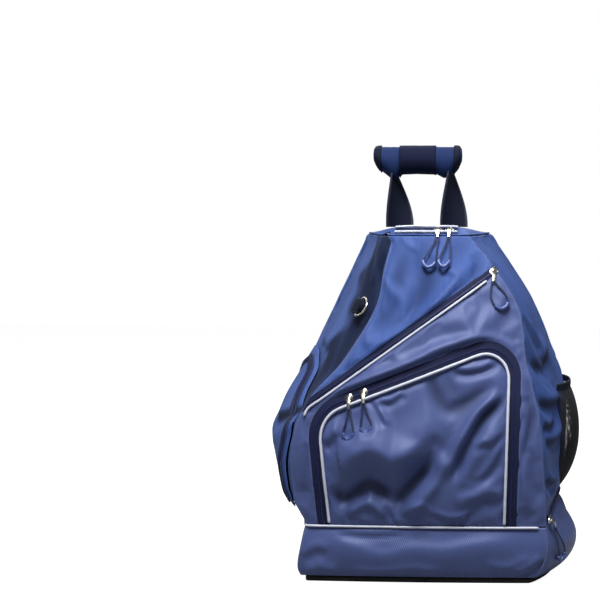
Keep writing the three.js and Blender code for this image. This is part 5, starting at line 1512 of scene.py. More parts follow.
def grip_rings(along, grown=0.0, creased=0.0):
    """Rings of the grip at shares of its half length."""
    def size(column):
        return np.interp(along, GRIP_SECTIONS["along"], GRIP_SECTIONS[column])[:, None]

    high, low = size("high") * GRIP_HEIGHT + grown, size("low") * GRIP_HEIGHT - grown
    deep = size("deep") * GRIP_DEPTH / 2 + grown
    turn = np.linspace(0, 2 * np.pi, GRIP_RIM, endpoint=False)[None, :]
    swell = 1 + creased * np.sin(3 * turn + 7 * along[:, None]) * np.sin(19 * along[:, None])
    x = np.broadcast_to((GRIP_MIDDLE + along * GRIP_LENGTH / 2)[:, None], (len(along), GRIP_RIM))
    y = HANDLE_SETBACK + deep * np.cos(turn) * swell
    z = GRIP_CENTRE + (high + low) / 2 + (high - low) / 2 * np.sin(turn) * swell
    return np.stack([x, y, z], -1)


def loft_rings(rings, ends=True):
    count, rim = rings.shape[:2]
    faces = [tuple(f) for f in grid_faces(rim, count - 1, closed=True)]
    if ends:
        faces += [tuple(range(rim))[::-1], tuple((count - 1) * rim + i for i in range(rim))]
    return rings.reshape(-1, 3), faces


def ring_place(rings):
    """Flat cloth coordinates for a form made of rings: round it, and along it."""
    count, rim = rings.shape[:2]
    wide = np.linalg.norm(np.diff(rings[count // 2], axis=0), axis=1).sum()
    long = np.linalg.norm(np.diff(rings[:, 0], axis=0), axis=1).sum()
    a, b = np.meshgrid(np.arange(rim) / rim * wide, np.linspace(0, 1, count) * long)
    return np.stack([b, a], -1).reshape(-1, 2)


core = np.linspace(-1, 1, 80)
rings = grip_rings(core, creased=0.006)
caps = []
for end, k in [(-1, 0), (1, -1)]:
    middle = rings[k].mean(0)
    caps.append([middle + (rings[k] - middle) * share + np.array([end * bulge * MM, 0, 0])
                 for share, bulge in [(0.93, 0.5), (0.75, 0.9), (0.4, 1.2)]])
rings = np.concatenate([np.array(caps[0])[::-1], rings, np.array(caps[1])])
points, faces = loft_rings(rings)
grip = piece("handle_grip", points, faces, "grip_cloth", "handle_grip", ring_place(rings))


def wrap(name, start, end, thickness, finish):
    """A band round the grip: the outside form, its rims and the inside form."""
    share = np.linspace(start, end, max(int((end - start) * GRIP_LENGTH / 2 / (1.8 * MM)), 5))
    outside = grip_rings(share, GRIP_CLEARANCE + thickness, 0.004)
    rim_in = grip_rings(share[[0, -1]], GRIP_CLEARANCE + thickness * 0.45)
    inside_rings = grip_rings(share, GRIP_CLEARANCE)
    shrink = (2 * MM) / GRIP_LENGTH * 0.7
    outside[0, :, 0] += shrink * GRIP_LENGTH / 2
    outside[-1, :, 0] -= shrink * GRIP_LENGTH / 2
    loop = np.concatenate([inside_rings[:1], rim_in[:1], outside, rim_in[1:], inside_rings[::-1]])
    points, faces = loft_rings(loop, ends=False)
    across = np.concatenate([[0, 0.3 * MM], np.linspace(0.6 * MM, (end - start) * GRIP_LENGTH / 2, len(share)),
                             [0], np.zeros(len(share))])
    turn = np.arange(GRIP_RIM) / GRIP_RIM * 0.125
    a, b = np.meshgrid(turn, across)
    return piece(name, points, faces, finish, name, np.stack([b, a], -1).reshape(-1, 2))


band_share = GRIP_BAND_LENGTH / GRIP_LENGTH
binding_share = 2 * BINDING_WIDTH / GRIP_LENGTH
wrap("handle_grip_wrap", -band_share, band_share, GRIP_BAND, "grip_band")
wrap("handle_grip_binding_left", -0.985, -0.985 + binding_share, BINDING, "webbing")
wrap("handle_grip_binding_right", 0.985 - binding_share, 0.985, BINDING, "webbing")

# %% Webbing of the handle: flat at its foot, turned edge on where the grip holds it
WEBBING_TURN = 0.86


def ribbon(name, middles, across, out, width, thickness, finish, share=None, node=None):
    """A flat band with rounded selvedges, on its middles and rising along out."""
    section = [(-0.5, 0.5), (-0.49, 0.12), (-0.46, 0), (-0.3, 0), (-0.1, 0), (0.1, 0), (0.3, 0), (0.46, 0), (0.49, 0.12),
               (0.5, 0.5), (0.49, 0.88), (0.46, 1), (0.3, 1), (0.1, 1), (-0.1, 1), (-0.3, 1), (-0.46, 1), (-0.49, 0.88)]
    share = np.ones(len(middles)) if share is None else share
    rings = np.stack([middles + across * (x * width * share)[:, None] + out * (y * thickness) for x, y in section], 1)
    points, faces = loft_rings(rings)
    run = np.concatenate([[0], np.cumsum(np.linalg.norm(np.diff(middles, axis=0), axis=1))])
    wide = np.array([x * width for x, _ in section])
    place = np.stack(np.broadcast_arrays(wide[None, :], run[:, None]), -1).reshape(-1, 2)
    edge = np.broadcast_to(np.array([1.0 if abs(x) > 0.45 else 0.0 for x, _ in section])[None], rings.shape[:2])
    return piece(name, points, faces, finish, node or name, place, edge.ravel())


for label, (foot_x, grip_x) in HANDLE_ENDS.items():
    foot = top_spot(np.array([foot_x]), np.array([HANDLE_SETBACK]), 0.0)[0, 2] + 2 * SEAM
    at = (grip_x - GRIP_MIDDLE) / (GRIP_LENGTH / 2)
    top = GRIP_CENTRE + float(np.interp(at, GRIP_SECTIONS["along"], GRIP_SECTIONS["low"])) * GRIP_HEIGHT - 2 * SEAM
    t = np.linspace(0, 1, 40)
    twist = np.arccos(1 - WEBBING_TURN * t**2)
    across = np.stack([np.cos(twist), np.sin(twist), 0 * t], -1)
    out = np.stack([-np.sin(twist), np.cos(twist), 0 * t], -1)
    middles = np.stack([foot_x + (grip_x - foot_x) * t**2, HANDLE_SETBACK + 0 * t,
                        foot + (top - foot) * t], -1) - out * WEBBING / 2
    made = ribbon(f"handle_webbing_{label}", middles, across, out, WEBBING_WIDTH, WEBBING, "webbing",
                  1 - 0.2 * t**3)
    deep = float(np.interp(at, GRIP_SECTIONS["along"], GRIP_SECTIONS["deep"])) * GRIP_DEPTH / 2
    for vertex in made.data.vertices:
        off = min(abs(vertex.co.y - HANDLE_SETBACK) / deep, 0.95)
        near = max((vertex.co.z - foot) / (top - foot), 0) ** 3
        vertex.co.z += near * (2.5 * MM + GRIP_HEIGHT * 0.55 * (1 - math.sqrt(1 - off**2)))

# %% [markdown]
# ## Sliders and ring
# A slider is a small nickel casting: a wedge round the teeth, a bridge over it and a plate that hangs from the
# bridge and holds the cord. Each is built in its own directions, along the zip, across it and out of it.

# %% Slider seats
SLIDER_LENGTH = 12 * MM
SLIDER_WIDTH = 9 * MM
SLIDER_HEIGHT = 4.2 * MM
PLATE_WIDTH = 4.6 * MM
PLATE = 1.2 * MM
TOP_PLATE_BEND = 6 * MM
PLATE_BEND = 1.2 * MM
SLIDER_FLOOR = SEAM - TAPE_DEPTH


def one(values):
    return np.asarray(values, float).reshape(-1)[:3]


def front_seat(x, z, along_line):
    step = 6 * MM
    seat = one(front_spot(x, z))
    out = unit(np.cross(one(front_spot(x + step, z)) - one(front_spot(x - step, z)),
                        one(front_spot(x, z + step)) - one(front_spot(x, z - step))))
    start, end = (one(front_spot(*mark)) for mark in along_line)
    along = end - start
    return seat, out, unit(along - out * (along @ out)), PLATE_BEND, SLIDER_FLOOR


def top_seat(x):
    y = float(top_front_edge(x)) + TOP_ZIP_SETBACK + TOP_ZIP_WIDTH * 0.45
    seat = top_spot(np.array([x]), np.array([y]), 0.0)[0]
    return seat, unit(np.array([0, -0.3, 0.95])), np.array([1.0, 0, 0]), TOP_PLATE_BEND, SLIDER_FLOOR


def door_seat(s):
    seat, ahead = (one(door_zip_spot(at, DOOR_TAPE_WIDTH / 2, DOOR_TAPE_LIFT)) for at in (s, s + 0.02))
    side = one(door_zip_spot(s, 0, DOOR_TAPE_LIFT))
    along = unit(ahead - seat)
    return seat, unit(np.cross(side - seat, along)), along, PLATE_BEND, SEAM


slant_marks = (spot(SLANT_HIGH), spot(SLANT_LOW))
arch_marks = (arch_path(0, ARC_PIECES)[ARC_PIECES + 2], arch_path(0, ARC_PIECES)[ARC_PIECES + 1])
SEATS = {
    "top_left": top_seat(12 * MM),
    "top_right": top_seat(27 * MM),
    "slanted": front_seat(87 * MM, SLIDER_Z["slanted"], slant_marks[::-1]),
    "arched_left": front_seat(-99 * MM, SLIDER_Z["arched_left"], arch_marks[::-1]),
    "arched_right": front_seat(-80 * MM, SLIDER_Z["arched_right"], arch_marks[::-1]),
    "end_door": door_seat(DOOR_SLIDER),
}


# %% One slider
def slider(label):
    """Wedge, bridge and plate as bevelled blocks of one mesh."""
    seat, out, along, bend, floor_rise = SEATS[label]
    across = unit(np.cross(out, along))
    half = SLIDER_HEIGHT / 2
    points, faces = [], []

    def place(t, w, rise):
        return seat + along * t + across * w + out * rise

    def block(stations):
        """Stations of (t, half width, low, high) joined into a closed bar."""
        first = len(points)
        for t, w, low, high in stations:
            points.extend([place(t, -w, low), place(t, w, low), place(t, w, high), place(t, -w, high)])
        for k in range(len(stations) - 1):
            for i in range(4):
                j = (i + 1) % 4
                faces.append((first + 4 * k + i, first + 4 * k + j, first + 4 * k + 4 + j, first + 4 * k + 4 + i))
        last = first + 4 * (len(stations) - 1)
        faces.extend([(first + 3, first + 2, first + 1, first), (last, last + 1, last + 2, last + 3)])

    wide, long = SLIDER_WIDTH / 2, SLIDER_LENGTH
    block([(-0.5 * long, 0.6 * wide, floor_rise, floor_rise + half * 0.8), (-0.3 * long, 0.86 * wide, floor_rise, floor_rise + half),
           (0.05 * long, wide, floor_rise, floor_rise + half), (0.36 * long, wide, floor_rise, floor_rise + half),
           (0.44 * long, 0.3 * wide, floor_rise, floor_rise + half * 0.8), (0.5 * long, 0.2 * wide, floor_rise, floor_rise + half * 0.7)])
    bridge_low, bridge_high = floor_rise + half * 0.95, floor_rise + 2 * half
    block([(-0.34 * long, 0.3 * wide, floor_rise, bridge_low), (-0.3 * long, 0.34 * wide, bridge_low, bridge_high - 0.4 * MM),
           (-0.15 * long, 0.36 * wide, bridge_high - 0.9 * MM, bridge_high + 0.2 * MM),
           (0.15 * long, 0.36 * wide, bridge_high - 0.9 * MM, bridge_high + 0.2 * MM),
           (0.3 * long, 0.34 * wide, bridge_low, bridge_high - 0.4 * MM), (0.34 * long, 0.3 * wide, floor_rise, bridge_low)])
    crown = seat + out * (bridge_high - PLATE / 2)
    eye = one(BESIDE[label](0, 0, PULL_CLEAR + 3.8 * MM))
    reach = eye - crown
    middle = (crown + eye) / 2 + out * bend
    side = unit(np.cross(reach, out))
    plate_out = unit(np.cross(side, reach))
    end = eye + unit(reach) * PLATE_WIDTH / 2
    line = smooth_through([crown - unit(reach) * MM, middle, end], 1 * MM)
    share = np.linspace(0, 1, len(line))
    widths = PLATE_WIDTH / 2 * (0.72 + 0.28 * np.sin(np.pi * np.clip(share * 1.1, 0, 1)))
    first = len(points)
    for p, w in zip(line, widths):
        points.extend([p - side * w, p + side * w, p + side * w + plate_out * PLATE, p - side * w + plate_out * PLATE])
    for k in range(len(line) - 1):
        for i in range(4):
            j = (i + 1) % 4
            faces.append((first + 4 * k + i, first + 4 * k + j, first + 4 * k + 4 + j, first + 4 * k + 4 + i))
    last = first + 4 * (len(line) - 1)
    faces.extend([(first + 3, first + 2, first + 1, first), (last, last + 1, last + 2, last + 3)])
    made = piece(f"{label}_slider", points, faces, "metal", f"{label}_zip_slider", smooth=False)
    rounded = made.modifiers.new("cast edges", "BEVEL")
    rounded.width = 0.35 * MM
    rounded.segments = 3
    rounded.limit_method = "ANGLE"
    rounded.angle_limit = math.radians(25)
    made.data.polygons.foreach_set("use_smooth", [True] * len(made.data.polygons))


for label in SEATS:
    slider(label)

# %% D-ring on its tab
RING_ACROSS = 0.77
RING_UP = 0.75
RING_WIDTH = 29 * MM
RING_REACH = 21 * MM
RING_WIRE = 3 * MM
TAB_WIDTH = 22 * MM
TAB_LENGTH = 20 * MM


def ring_spot(z):
    return one(wall_point("left", RING_ACROSS, z, RING_WIRE / 2 + CLOTH + 2 * SEAM))


ring_step = WALL_HEIGHT * 0.03
tab_start = ring_spot(BASE_HEIGHT + RING_UP * WALL_HEIGHT)
ring_along = unit(ring_spot(tab_start[2] + ring_step) - ring_spot(tab_start[2] - ring_step))
ring_out = np.array([0.55, -0.83, 0])
ring_out = unit(ring_out - ring_along * (ring_out @ ring_along))
ring_side = np.cross(ring_along, ring_out)
ring_centre = tab_start + ring_out * TAB_LENGTH * 0.4
turn = np.linspace(-np.pi / 2, np.pi / 2, 15)[:, None]
ring_points = (ring_centre + ring_along * ((RING_WIDTH - RING_WIRE) / 2 * np.sin(turn))
               + ring_out * (RING_WIRE + (RING_REACH - RING_WIRE) * np.cos(turn)))
ring_line = smooth_through(ring_points, 1.1 * MM, closed=True)[:-1]
points, faces, place = tube_mesh(ring_line, RING_WIRE / 2, 14, closed=True)
piece("d_ring", points, faces, "metal", "d_ring", None)
reach = np.linspace(0, TAB_LENGTH * 0.75, 16)
middles = tab_start + ring_out * reach[:, None] - ring_side * (RING_WIRE / 2 + CLOTH)
bulge = 0.4 * MM * np.sin(np.linspace(0, np.pi, 16))[:, None]
ribbon("d_ring_tab", middles - ring_side * bulge, np.broadcast_to(ring_along, (16, 3)), np.broadcast_to(ring_side, (16, 3)),
       TAB_WIDTH, RING_WIRE + 2 * CLOTH, "webbing")

# %% [markdown]
# ## Shoulder straps
# The two padded straps lie behind the bag: foam inside cloth with a rounded edge, wide over the shoulder and
# narrow at the buckle. The webbing tails are flat bands, and each ladder buckle is a moulded plate with two slots.

# %% Straps
STRAP_WIDTH = 62 * MM
STRAP_PADDING = 11 * MM
STRAP_WEBBING_WIDTH = 25 * MM
BUCKLE_LENGTH = 30 * MM
BUCKLE_WIDTH = 36 * MM
BUCKLE_THICKNESS = 5 * MM
BUCKLE_SLOT = 5 * MM
BUCKLE_DROP = 3 * MM
STRAP_ROUTE = table(
    ["across", "up", "away", "share"],
    [0.22, 0.94, -1.1, 0.75],
    [0.27, 0.86, 18, 0.9],
    [0.33, 0.74, 33, 1],
    [0.4, 0.6, 42, 1],
    [0.48, 0.46, 42, 1],
    [0.56, 0.34, 34, 0.85],
    [0.6, 0.27, 28, 0.6],
    [0.61, 0.252, 26.6, 0.5],
)
STRAP_TAIL = table(
    ["across", "up", "away", "share"],
    [0.62, 0.23, 25, 1],
    [0.68, 0.15, 17, 1],
    [0.78, 0.07, 8, 1],
    [0.84, 0.03, 1.4, 1],
)


def strap_line(side, rows, step):
    """Middles, directions across and out, and width shares along a strap."""
    z = BASE_HEIGHT + rows["up"] * WALL_HEIGHT
    right, left = wall_point("back", 0.0, z)[:, 0], wall_point("back", 1.0, z)[:, 0]
    s = np.clip((side * rows["across"] * HALF_WIDTH - right) / (left - right), 0.02, 0.98)
    marks = wall_point("back", s, z, rows["away"] * MM + CLOTH)
    both = smooth_through(np.hstack([marks, rows["share"][:, None] * 0.02]), step)
    middles, share = both[:, :3], both[:, 3] / 0.02
    run = unit(np.gradient(middles, axis=0))
    across = np.array([1.0, 0, 0]) - run * run[:, :1]
    across = unit(across)
    return middles, across, unit(np.cross(across, run)), share


def padded_strap(label, side):
    middles, across, out, share = strap_line(side, STRAP_ROUTE, 4 * MM)
    turn = np.linspace(0, 2 * np.pi, 44, endpoint=False)
    x = np.sign(np.cos(turn)) * np.abs(np.cos(turn)) ** 0.6
    y = (np.sign(np.sin(turn)) * np.abs(np.sin(turn)) ** 0.8 + 1) / 2
    channel = 1 - 0.16 * np.exp(-(((np.abs(x) - 0.8) / 0.05) ** 2)) * (y > 0.5)
    rings = (middles[:, None] + across[:, None] * (x[None, :, None] * STRAP_WIDTH / 2 * share[:, None, None])
             + out[:, None] * ((y * channel)[None, :, None] * STRAP_PADDING))
    points, faces = loft_rings(rings)
    made = piece(f"shoulder_strap_{label}", points, faces, "twill", f"shoulder_strap_{label}",
                 ring_place(rings))


def buckle(label, side):
    middles, across, out, _ = strap_line(side, STRAP_TAIL, 4 * MM)
    rows_z = BASE_HEIGHT + STRAP_TAIL["up"] * WALL_HEIGHT
    start, down = middles[0], unit(middles[8] - middles[0])
    across, out = across[0], out[0]
    centre = start + out * (WEBBING + SEAM) + down * BUCKLE_DROP
    half_l, half_w, slot_w = BUCKLE_LENGTH / 2, BUCKLE_WIDTH / 2, STRAP_WEBBING_WIDTH / 2 + MM
    us = [-half_w, -slot_w, slot_w, half_w]
    q, h = BUCKLE_LENGTH / 4, BUCKLE_SLOT / 2
    vs = [-half_l, -q - h, -q + h, q - h, q + h, half_l]
    points, faces = [], []
    for w in (0, BUCKLE_THICKNESS):
        for v in vs:
            for u in us:
                points.append(centre + across * u + down * v + out * w)
    layer = len(us) * len(vs)
    holes = {(1, 1), (1, 3)}
    for j in range(len(vs) - 1):
        for i in range(len(us) - 1):
            if (i, j) in holes:
                continue
            a = j * 4 + i
            b, c, d = a + 1, a + 5, a + 4
            faces.append((a, d, c, b))
            faces.append((a + layer, b + layer, c + layer, d + layer))
            for (di, dj), (p, q2) in {(0, -1): (a, b), (1, 0): (b, c), (0, 1): (c, d), (-1, 0): (d, a)}.items():
                ni, nj = i + di, j + dj
                if not (0 <= ni < 3 and 0 <= nj < 5) or (ni, nj) in holes:
                    faces.append((p, q2, q2 + layer, p + layer))
    made = piece(f"strap_buckle_{label}", points, faces, "buckle", f"strap_buckle_{label}",
                 smooth=True)
    rounded = made.modifiers.new("moulded edges", "BEVEL")
    rounded.width = 1.1 * MM
    rounded.segments = 3
    rounded.limit_method = "ANGLE"


for label, side in [("left", -1), ("right", 1)]:
    padded_strap(label, side)
    middles, across, out, share = strap_line(side, STRAP_TAIL, 3 * MM)
    ribbon(f"shoulder_webbing_{label}", middles, across, out, STRAP_WEBBING_WIDTH, WEBBING, "webbing")
    buckle(label, side)

# %% Cords with their sleeves
SLEEVE_SHARES = (6 / 16, 10 / 16)  # where a sleeve starts and ends along its cord
BORE = PULL_CORD / 2 + SLEEVE_CLEARANCE
for label, line in CORD_LINES.items():
    points, faces, place = tube_mesh(line, PULL_CORD / 2, 10)
    cord_piece = piece(f"{label}_cord", points, faces, "cord", f"{label}_pull_cord", place)
    first, last = (int(round(share * (len(line) - 1))) for share in SLEEVE_SHARES)
    part = evenly(line[first : last + 1], 0.7 * MM)
    ends = np.linspace(0, 1, len(part))
    rounding = np.minimum(np.minimum(ends, 1 - ends) * length_of(part) / (0.8 * MM), 1)
    thick = BORE + SLEEVE_WALL * (0.45 + 0.55 * np.sqrt(rounding))
    points, faces, place = tube_mesh(part, thick, 14)
    sleeve = piece(f"{label}_sleeve", points, faces, "sleeve", f"{label}_pull_sleeve", place)

# %% [markdown]
# ## Finishes
# All the cloths share a few effects, so each effect is a node group with named inputs and outputs: a weave, an
# uneven dyeing with wear at the edges and painted shade in the folds, and a grain. A material then places the
# groups with its own values and feeds them to its own Principled shader.

# %% Building node groups
GROUP_SOCKETS = {"value": "NodeSocketFloat", "vector": "NodeSocketVector", "colour": "NodeSocketColor"}


class Nodes:
    """A small hand for placing nodes in a tree and joining them."""

    def __init__(self, tree):
        self.tree = tree

    def add(self, kind, inputs=None, **settings):
        node = self.tree.nodes.new(kind)
        node.location = (180 * (len(self.tree.nodes) % 12), -220 * (len(self.tree.nodes) // 12))
        for key, value in settings.items():
            setattr(node, key, value)
        for key, value in (inputs or {}).items():
            if isinstance(value, bpy.types.NodeSocket):
                self.tree.links.new(value, node.inputs[key])
            else:
                node.inputs[key].default_value = value
        return node

    def math(self, operation, a, b=0.0, c=0.0, clamp=False):
        return self.add("ShaderNodeMath", {0: a, 1: b, 2: c}, operation=operation, use_clamp=clamp).outputs[0]

    def mix(self, share, a, b, kind="MIX"):
        node = self.add("ShaderNodeMix", {"Factor": share}, data_type="RGBA", blend_type=kind)
        for socket, value in (("A", a), ("B", b)):
            target = [s for s in node.inputs if s.name == socket and s.type == "RGBA"][0]
            if isinstance(value, bpy.types.NodeSocket):
                self.tree.links.new(value, target)
            else:
                target.default_value = value
        return [s for s in node.outputs if s.type == "RGBA"][0]

    def ramp(self, value, low, high, to_low=0.0, to_high=1.0):
        node = self.add("ShaderNodeMapRange", {"Value": value, "From Min": low, "From Max": high,
                                               "To Min": to_low, "To Max": to_high}, interpolation_type="SMOOTHSTEP")
        return node.outputs["Result"]


def group(name, inputs, outputs):
    """An empty node group with its named sockets."""
    tree = bpy.data.node_groups.new(name, "ShaderNodeTree")
    for way, sockets in (("INPUT", inputs), ("OUTPUT", outputs)):
        for label, (kind, *start) in sockets.items():
            made = tree.interface.new_socket(name=label, in_out=way, socket_type=GROUP_SOCKETS[kind])
            if start:
                made.default_value = start[0]
    return tree, Nodes(tree), tree.nodes.new("NodeGroupInput"), tree.nodes.new("NodeGroupOutput")


# %% Weave: threads over and under each other
def weave_group():
    tree, n, given, out = group(
        "weave",
        {"Place": ("vector",), "Threads": ("value", 600.0), "Turn": ("value", 0.0), "Diagonal": ("value", 0.0)},
        {"Height": ("value",), "Gap": ("value",)},
    )
    turned = n.add("ShaderNodeVectorRotate", {"Vector": given.outputs["Place"], "Angle": given.outputs["Turn"]},
                   rotation_type="Z_AXIS").outputs[0]
    wander = n.add("ShaderNodeTexNoise", {"Vector": turned, "Scale": 90.0, "Detail": 2.0}).outputs["Fac"]
    parts = n.add("ShaderNodeSeparateXYZ", {"Vector": turned})
    per_turn = n.math("MULTIPLY", given.outputs["Threads"], 2 * math.pi)
    shift = n.math("MULTIPLY", wander, 2.2)
    a = n.math("MULTIPLY_ADD", parts.outputs["X"], per_turn, shift)
    b = n.math("MULTIPLY_ADD", parts.outputs["Y"], per_turn, shift)
    plain = n.math("MULTIPLY", n.math("SINE", a), n.math("SINE", b))
    rib = n.math("SINE", n.math("ADD", n.math("MULTIPLY", a, 0.5), n.math("MULTIPLY", b, 0.5)))
    thread = n.math("MULTIPLY_ADD", n.math("SINE", n.math("SUBTRACT", a, b)), 0.25, rib)
    both = n.math("ADD", n.math("MULTIPLY", plain, n.math("SUBTRACT", 1.0, given.outputs["Diagonal"])),
                  n.math("MULTIPLY", thread, given.outputs["Diagonal"]))
    height = n.math("MULTIPLY_ADD", both, 0.45, 0.5)
    tree.links.new(height, out.inputs["Height"])
    tree.links.new(n.ramp(height, 0.35, 0.05), out.inputs["Gap"])
    return tree


# %% Dyeing and painted shade: long streaks and broad clouds in the colour, and folds darkened as painted shade
def dye_and_painted_shade_group():
    tree, n, given, out = group(
        "dye_and_painted_shade",
        {"Place": ("vector",), "Colour": ("colour",), "Streaks": ("value", 0.2), "Clouds": ("value", 0.2),
         "Edge": ("value", 0.0), "Wear": ("value", 0.15), "Painted Shade": ("value", 0.0)},
        {"Colour": ("colour",), "Gloss": ("value",)},
    )
    place = given.outputs["Place"]
    stretched = n.add("ShaderNodeMapping", {"Vector": place, "Scale": (260.0, 7.0, 1.0)}).outputs[0]
    streak = n.add("ShaderNodeTexNoise", {"Vector": stretched, "Scale": 1.0, "Detail": 4.0, "Roughness": 0.65}).outputs["Fac"]
    cloud = n.add("ShaderNodeTexNoise", {"Vector": place, "Scale": 16.0, "Detail": 3.0}).outputs["Fac"]
    streak_tone = n.math("MULTIPLY", n.math("SUBTRACT", streak, 0.5), given.outputs["Streaks"])
    cloud_tone = n.math("MULTIPLY", n.math("SUBTRACT", cloud, 0.5), given.outputs["Clouds"])
    tone = n.math("ADD", n.math("ADD", streak_tone, cloud_tone), 1.0)
    # Painted shade: the fold mask darkens the colour, down to a tenth where it is full.
    tone = n.math("MULTIPLY", tone, n.ramp(given.outputs["Painted Shade"], 0.0, 0.75, 1.0, 0.1))
    toned = n.mix(1.0, given.outputs["Colour"], n.add("ShaderNodeCombineColor", {"Red": tone, "Green": tone, "Blue": tone}).outputs[0], "MULTIPLY")
    rub = n.add("ShaderNodeTexNoise", {"Vector": place, "Scale": 700.0, "Detail": 3.0}).outputs["Fac"]
    worn = n.math("MULTIPLY", n.ramp(n.math("MULTIPLY", given.outputs["Edge"], rub), 0.25, 0.6), given.outputs["Wear"])
    pale = n.mix(0.5, toned, (0.35, 0.4, 0.55, 1))
    tree.links.new(n.mix(worn, toned, pale), out.inputs["Colour"])
    dull = n.math("MULTIPLY", given.outputs["Painted Shade"], 0.4)
    tree.links.new(n.math("ADD", n.math("MULTIPLY", streak_tone, 0.5), dull), out.inputs["Gloss"])
    return tree


# %% Grain: fine uneven height and tone for moulded and cast surfaces
def grain_group():
    tree, n, given, out = group(
        "grain",
        {"Place": ("vector",), "Colour": ("colour",), "Size": ("value", 900.0), "Tone": ("value", 0.1)},
        {"Colour": ("colour",), "Height": ("value",), "Smudge": ("value",)},
    )
    fine = n.add("ShaderNodeTexNoise", {"Vector": given.outputs["Place"], "Scale": given.outputs["Size"], "Detail": 3.0}).outputs["Fac"]
    broad = n.add("ShaderNodeTexNoise", {"Vector": given.outputs["Place"], "Scale": 60.0, "Detail": 4.0}).outputs["Fac"]
    tone = n.math("MULTIPLY_ADD", n.math("SUBTRACT", broad, 0.5), given.outputs["Tone"], 1.0)
    toned = n.mix(1.0, given.outputs["Colour"], n.add("ShaderNodeCombineColor", {"Red": tone, "Green": tone, "Blue": tone}).outputs[0], "MULTIPLY")
    tree.links.new(toned, out.inputs["Colour"])
    tree.links.new(fine, out.inputs["Height"])
    tree.links.new(broad, out.inputs["Smudge"])
    return tree


GROUPS = {"weave": weave_group(), "dye_and_painted_shade": dye_and_painted_shade_group(), "grain": grain_group()}
print("groups:", ", ".join(GROUPS))


# %% Cloth materials
def linear(code):
    """A screen colour such as 2b3a66 as the shader's linear numbers."""
    parts = [int(code[i : i + 2], 16) / 255 for i in (0, 2, 4)]
    return (*[v / 12.92 if v <= 0.04045 else ((v + 0.055) / 1.055) ** 2.4 for v in parts], 1)


def shader_of(name):
    material = bpy.data.materials.new(name)
    material.use_nodes = True
    n = Nodes(material.node_tree)
    return material, n, material.node_tree.nodes["Principled BSDF"]


def use_group(n, name, inputs):
    return n.add("ShaderNodeGroup", inputs, node_tree=GROUPS[name])


def cloth(name, colour, gap, threads, turn, diagonal, roughness, sheen, streaks, clouds, bump, wear=0.2, gaps=0.5,
          specular=0.5, glint="ffffff"):
    """Woven cloth: dyed threads, darker gaps between them, their height as bump, and painted shade in folds."""
    material, n, shader = shader_of(name)
    place = n.add("ShaderNodeAttribute", attribute_name="cloth_place").outputs["Vector"]
    edge = n.add("ShaderNodeAttribute", attribute_name="edge_near").outputs["Fac"]
    # the painted shade of the folds, read from the points, darkens the colour in the group
    crease = n.add("ShaderNodeAttribute", attribute_name="painted_shade_near").outputs["Fac"]
    weave = use_group(n, "weave", {"Place": place, "Threads": threads, "Turn": math.radians(turn), "Diagonal": diagonal})
    dye_and_painted_shade = use_group(n, "dye_and_painted_shade", {"Place": place, "Colour": linear(colour), "Streaks": streaks, "Clouds": clouds,
                               "Edge": edge, "Wear": wear, "Painted Shade": crease})
    mask = n.math("MULTIPLY", weave.outputs["Gap"], gaps)
    coloured = n.mix(mask, dye_and_painted_shade.outputs["Colour"], linear(gap))
    rough = n.math("ADD", dye_and_painted_shade.outputs["Gloss"], roughness, clamp=True)
    bumped = n.add("ShaderNodeBump", {"Height": weave.outputs["Height"], "Strength": 1.0, "Distance": bump * MM})
    links = n.tree.links
    links.new(coloured, shader.inputs["Base Color"])
    links.new(rough, shader.inputs["Roughness"])
    links.new(bumped.outputs["Normal"], shader.inputs["Normal"])
    shader.inputs["Sheen Weight"].default_value = sheen
    shader.inputs["Sheen Roughness"].default_value = 0.4
    shader.inputs["Sheen Tint"].default_value = linear("9fb4e8")
    shader.inputs["Specular IOR Level"].default_value = specular
    shader.inputs["Specular Tint"].default_value = linear(glint)
    return material


MATERIALS = {
    "smooth_cloth": cloth("smooth nylon", "30467c", "17264e", 1500, 0, 0.0, 0.56, 0.04, 0.9, 0.25, 0.05, specular=0.44, glint="a6b4e6"),
    "twill": cloth("twill nylon", "404c78", "111737", 640, 12, 0.7, 0.45, 0.05, 0.12, 0.12, 0.17, gaps=0.65, specular=0.42, glint="c4ccea"),
    "grip_cloth": cloth("grip nylon", "0f2148", "081026", 900, 0, 0.2, 0.75, 0.0, 0.15, 0.2, 0.1, specular=0.15),
    "grip_band": cloth("grip band", "0a1029", "050817", 520, 0, 0.0, 0.8, 0.0, 0.1, 0.3, 0.25, specular=0.12),
    "webbing": cloth("webbing", "090e20", "040509", 420, 0, 0.6, 0.8, 0.0, 0.1, 0.15, 0.35, specular=0.15),
    "net": cloth("net", "0c0d0f", "030303", 900, 0, 0.0, 0.6, 0.05, 0.0, 0.2, 0.1),
    "piping": cloth("piping", "b2b6c4", "868b9e", 1100, 8, 0.3, 0.42, 0.0, 0.05, 0.1, 0.08, wear=0.0, gaps=0.35),
    "zip_tape": cloth("zip tape", "0e1535", "070a1d", 700, 0, 0.8, 0.75, 0.0, 0.1, 0.1, 0.2, specular=0.2),
    "zip_teeth": cloth("zip teeth", "1c2656", "0e1333", 900, 0, 0.0, 0.4, 0.0, 0.0, 0.1, 0.03),
    "thread": cloth("thread", "33447e", "1a2348", 1500, 30, 1.0, 0.5, 0.1, 0.0, 0.1, 0.05),
    "cord": cloth("pull cord", "17224a", "0a1030", 700, 45, 0.0, 0.6, 0.1, 0.0, 0.1, 0.25),
}


